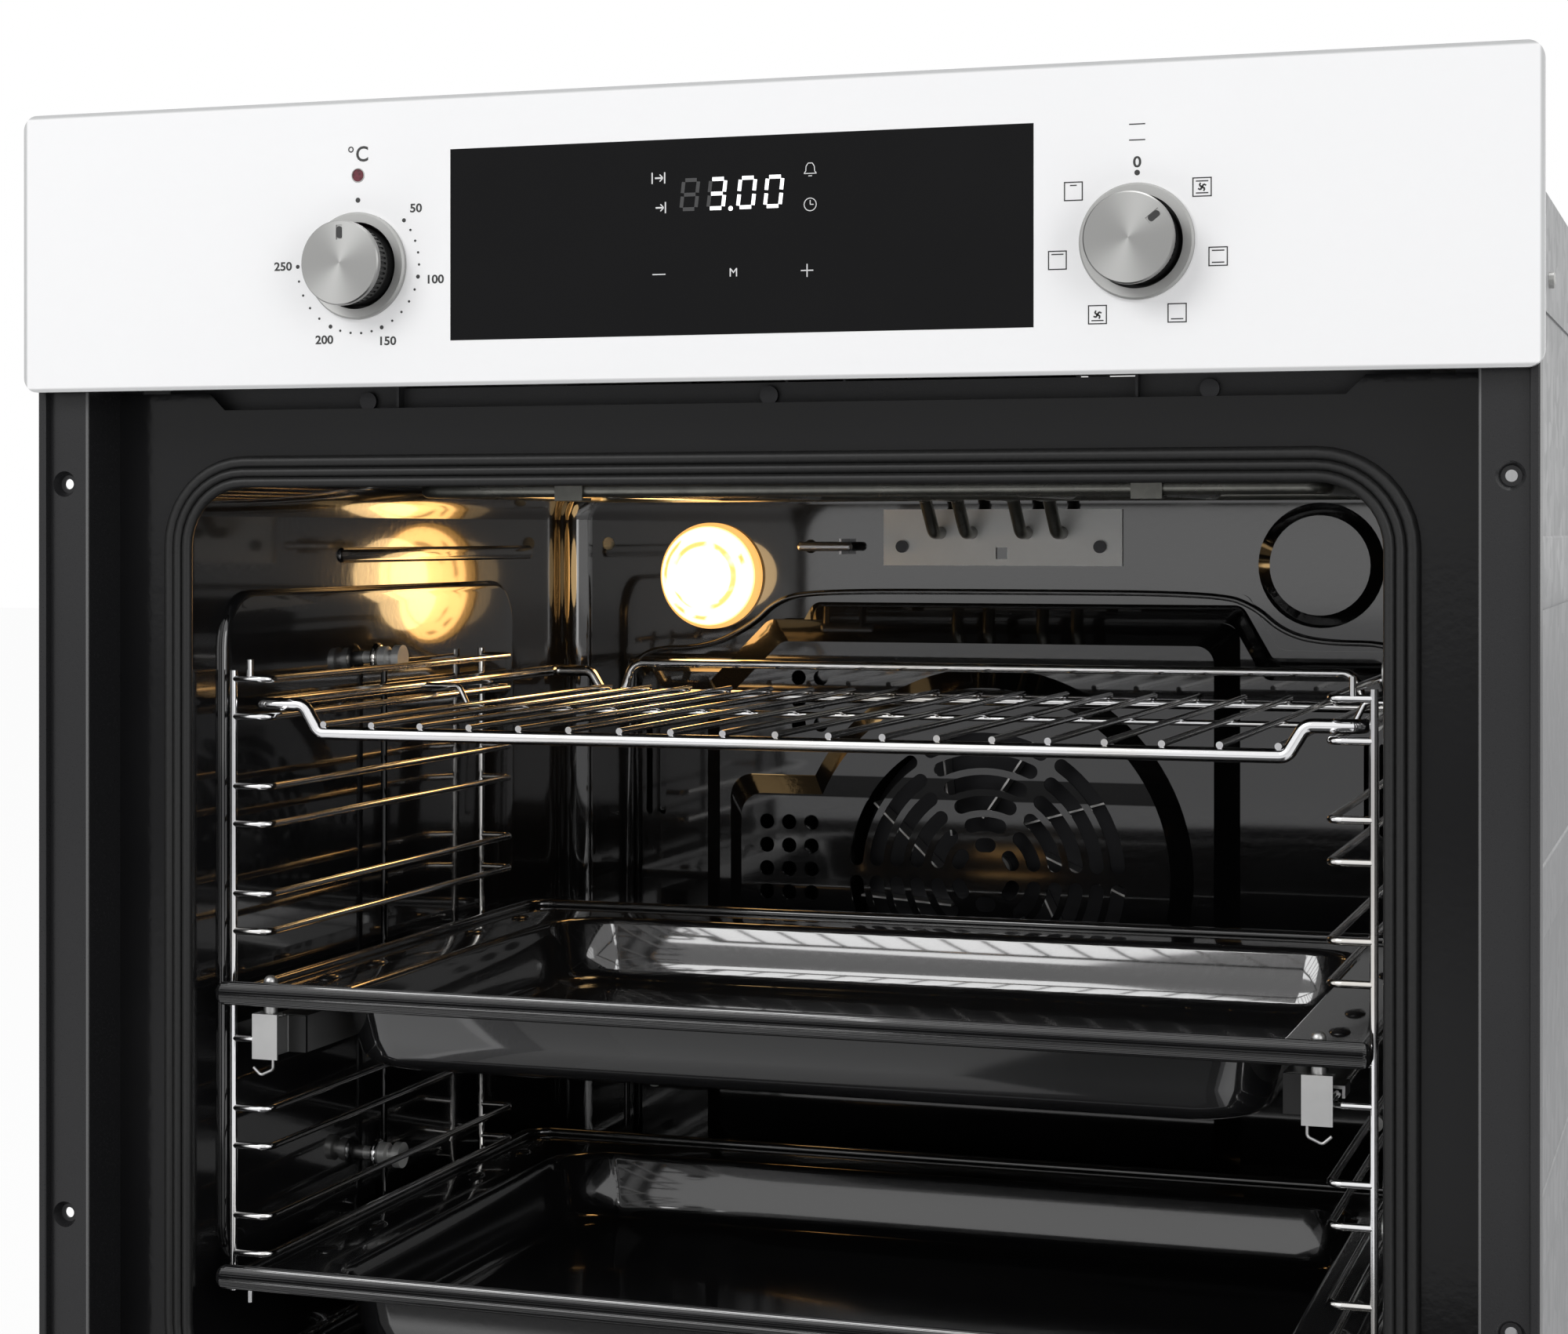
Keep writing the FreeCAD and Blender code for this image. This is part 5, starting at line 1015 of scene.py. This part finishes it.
# -------------------------------- insulation and motors
# A mat of mineral wool lies over the cavity. The two motors have laminated steel cores.
wool = Finish("mineral_wool", Roughness=0.95)
fibre = wool.noise(240.0, wool.place(scale=(1.0, 1.0, 3.0)), detail=6.0, roughness=0.75)
wool.vary(fibre, (0.48, 0.43, 0.3), (0.78, 0.73, 0.58), None, (0.003, 0.8))
wool.coat(nodes["insulation_blanket"])
laminated = Finish("motor_laminations", Roughness=0.45, Metallic=0.7)
layers = laminated.noise(900.0, laminated.place(scale=(0.02, 1.0, 1.0)))
laminated.vary(layers, (0.2, 0.2, 0.21), (0.42, 0.42, 0.43), None, (0.0002, 0.5))
laminated.coat(nodes["convection_fan_motor"], nodes["cooling_fan_motor"])


# -------------------------------- door
# The door hangs open on two hinge arms: white printed outer glass with a black window, a clear
# middle pane, a dark printed inner one, powder-coated rails and a brushed bar handle.
outer_low, outer_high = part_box("door_outer_glass")
door_white = Finish("door_outer_glass")
dx, dy, _ = door_white.axes()
window_middle = (outer_low.y + outer_high.y) / 2 + 0.012
window_half_x, window_half_y = 0.235, 0.135
in_x = (window_half_x - abs(dx)).above(0.0, 0.0002)
in_y = (window_half_y - abs(dy - window_middle)).above(0.0, 0.0002)
pane_cloud = door_white.noise(7.0)
pane_white = door_white.blend(pane_cloud, (0.925, 0.925, 0.93), 0.945)
door_white.vary(in_x * in_y, pane_white, (0.01, 0.01, 0.011))
door_white.set("Roughness", 0.06 + pane_cloud * 0.05)
door_white.coat(nodes["door_outer_glass"])

clear_pane = Finish("clear_low_iron_glass", Base_Color=(0.9, 0.95, 0.93), Transmission_Weight=1.0,
                    IOR=1.5)
clear_pane.set("Roughness", 0.01 + clear_pane.noise(5.0) * 0.03)
clear_pane.coat(nodes["door_middle_glass"])
inner_low, inner_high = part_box("door_inner_glass")
inner_pane = Finish("inner_door_glass")
ix, iy, _ = inner_pane.axes()
open_half_x, open_half_y = 0.19, 0.15
open_x = (open_half_x - abs(ix)).above(0.0, 0.0002)
open_y = (open_half_y - abs(iy - (inner_low.y + inner_high.y) / 2)).above(0.0, 0.0002)
inner_pane.vary(open_x * open_y, 0.012, (0.05, 0.052, 0.052))
inner_pane.set("Roughness", 0.03 + inner_pane.noise(9.0) * 0.06)
inner_pane.coat(nodes["door_inner_glass"])

powder = Finish("grey_powder_coat", Roughness=0.5)
powder.vary(powder.noise(1300.0), (0.19, 0.19, 0.195), (0.26, 0.26, 0.265), None, (0.0001, 0.5))
powder.coat(nodes["door_side_rails"], nodes["door_top_rail"], nodes["door_bottom_rail"])

handle_steel = Finish("brushed_handle", Metallic=1.0)
drawn = handle_steel.noise(700.0, handle_steel.place(scale=(0.02, 1.0, 1.0)), detail=4.0)
handle_steel.vary(drawn, 0.66, 0.84, (0.2, 0.2), (0.00006, 0.4))
handle_steel.coat(nodes["door_handle_bar"], nodes["door_handle_posts"])


only(floor)
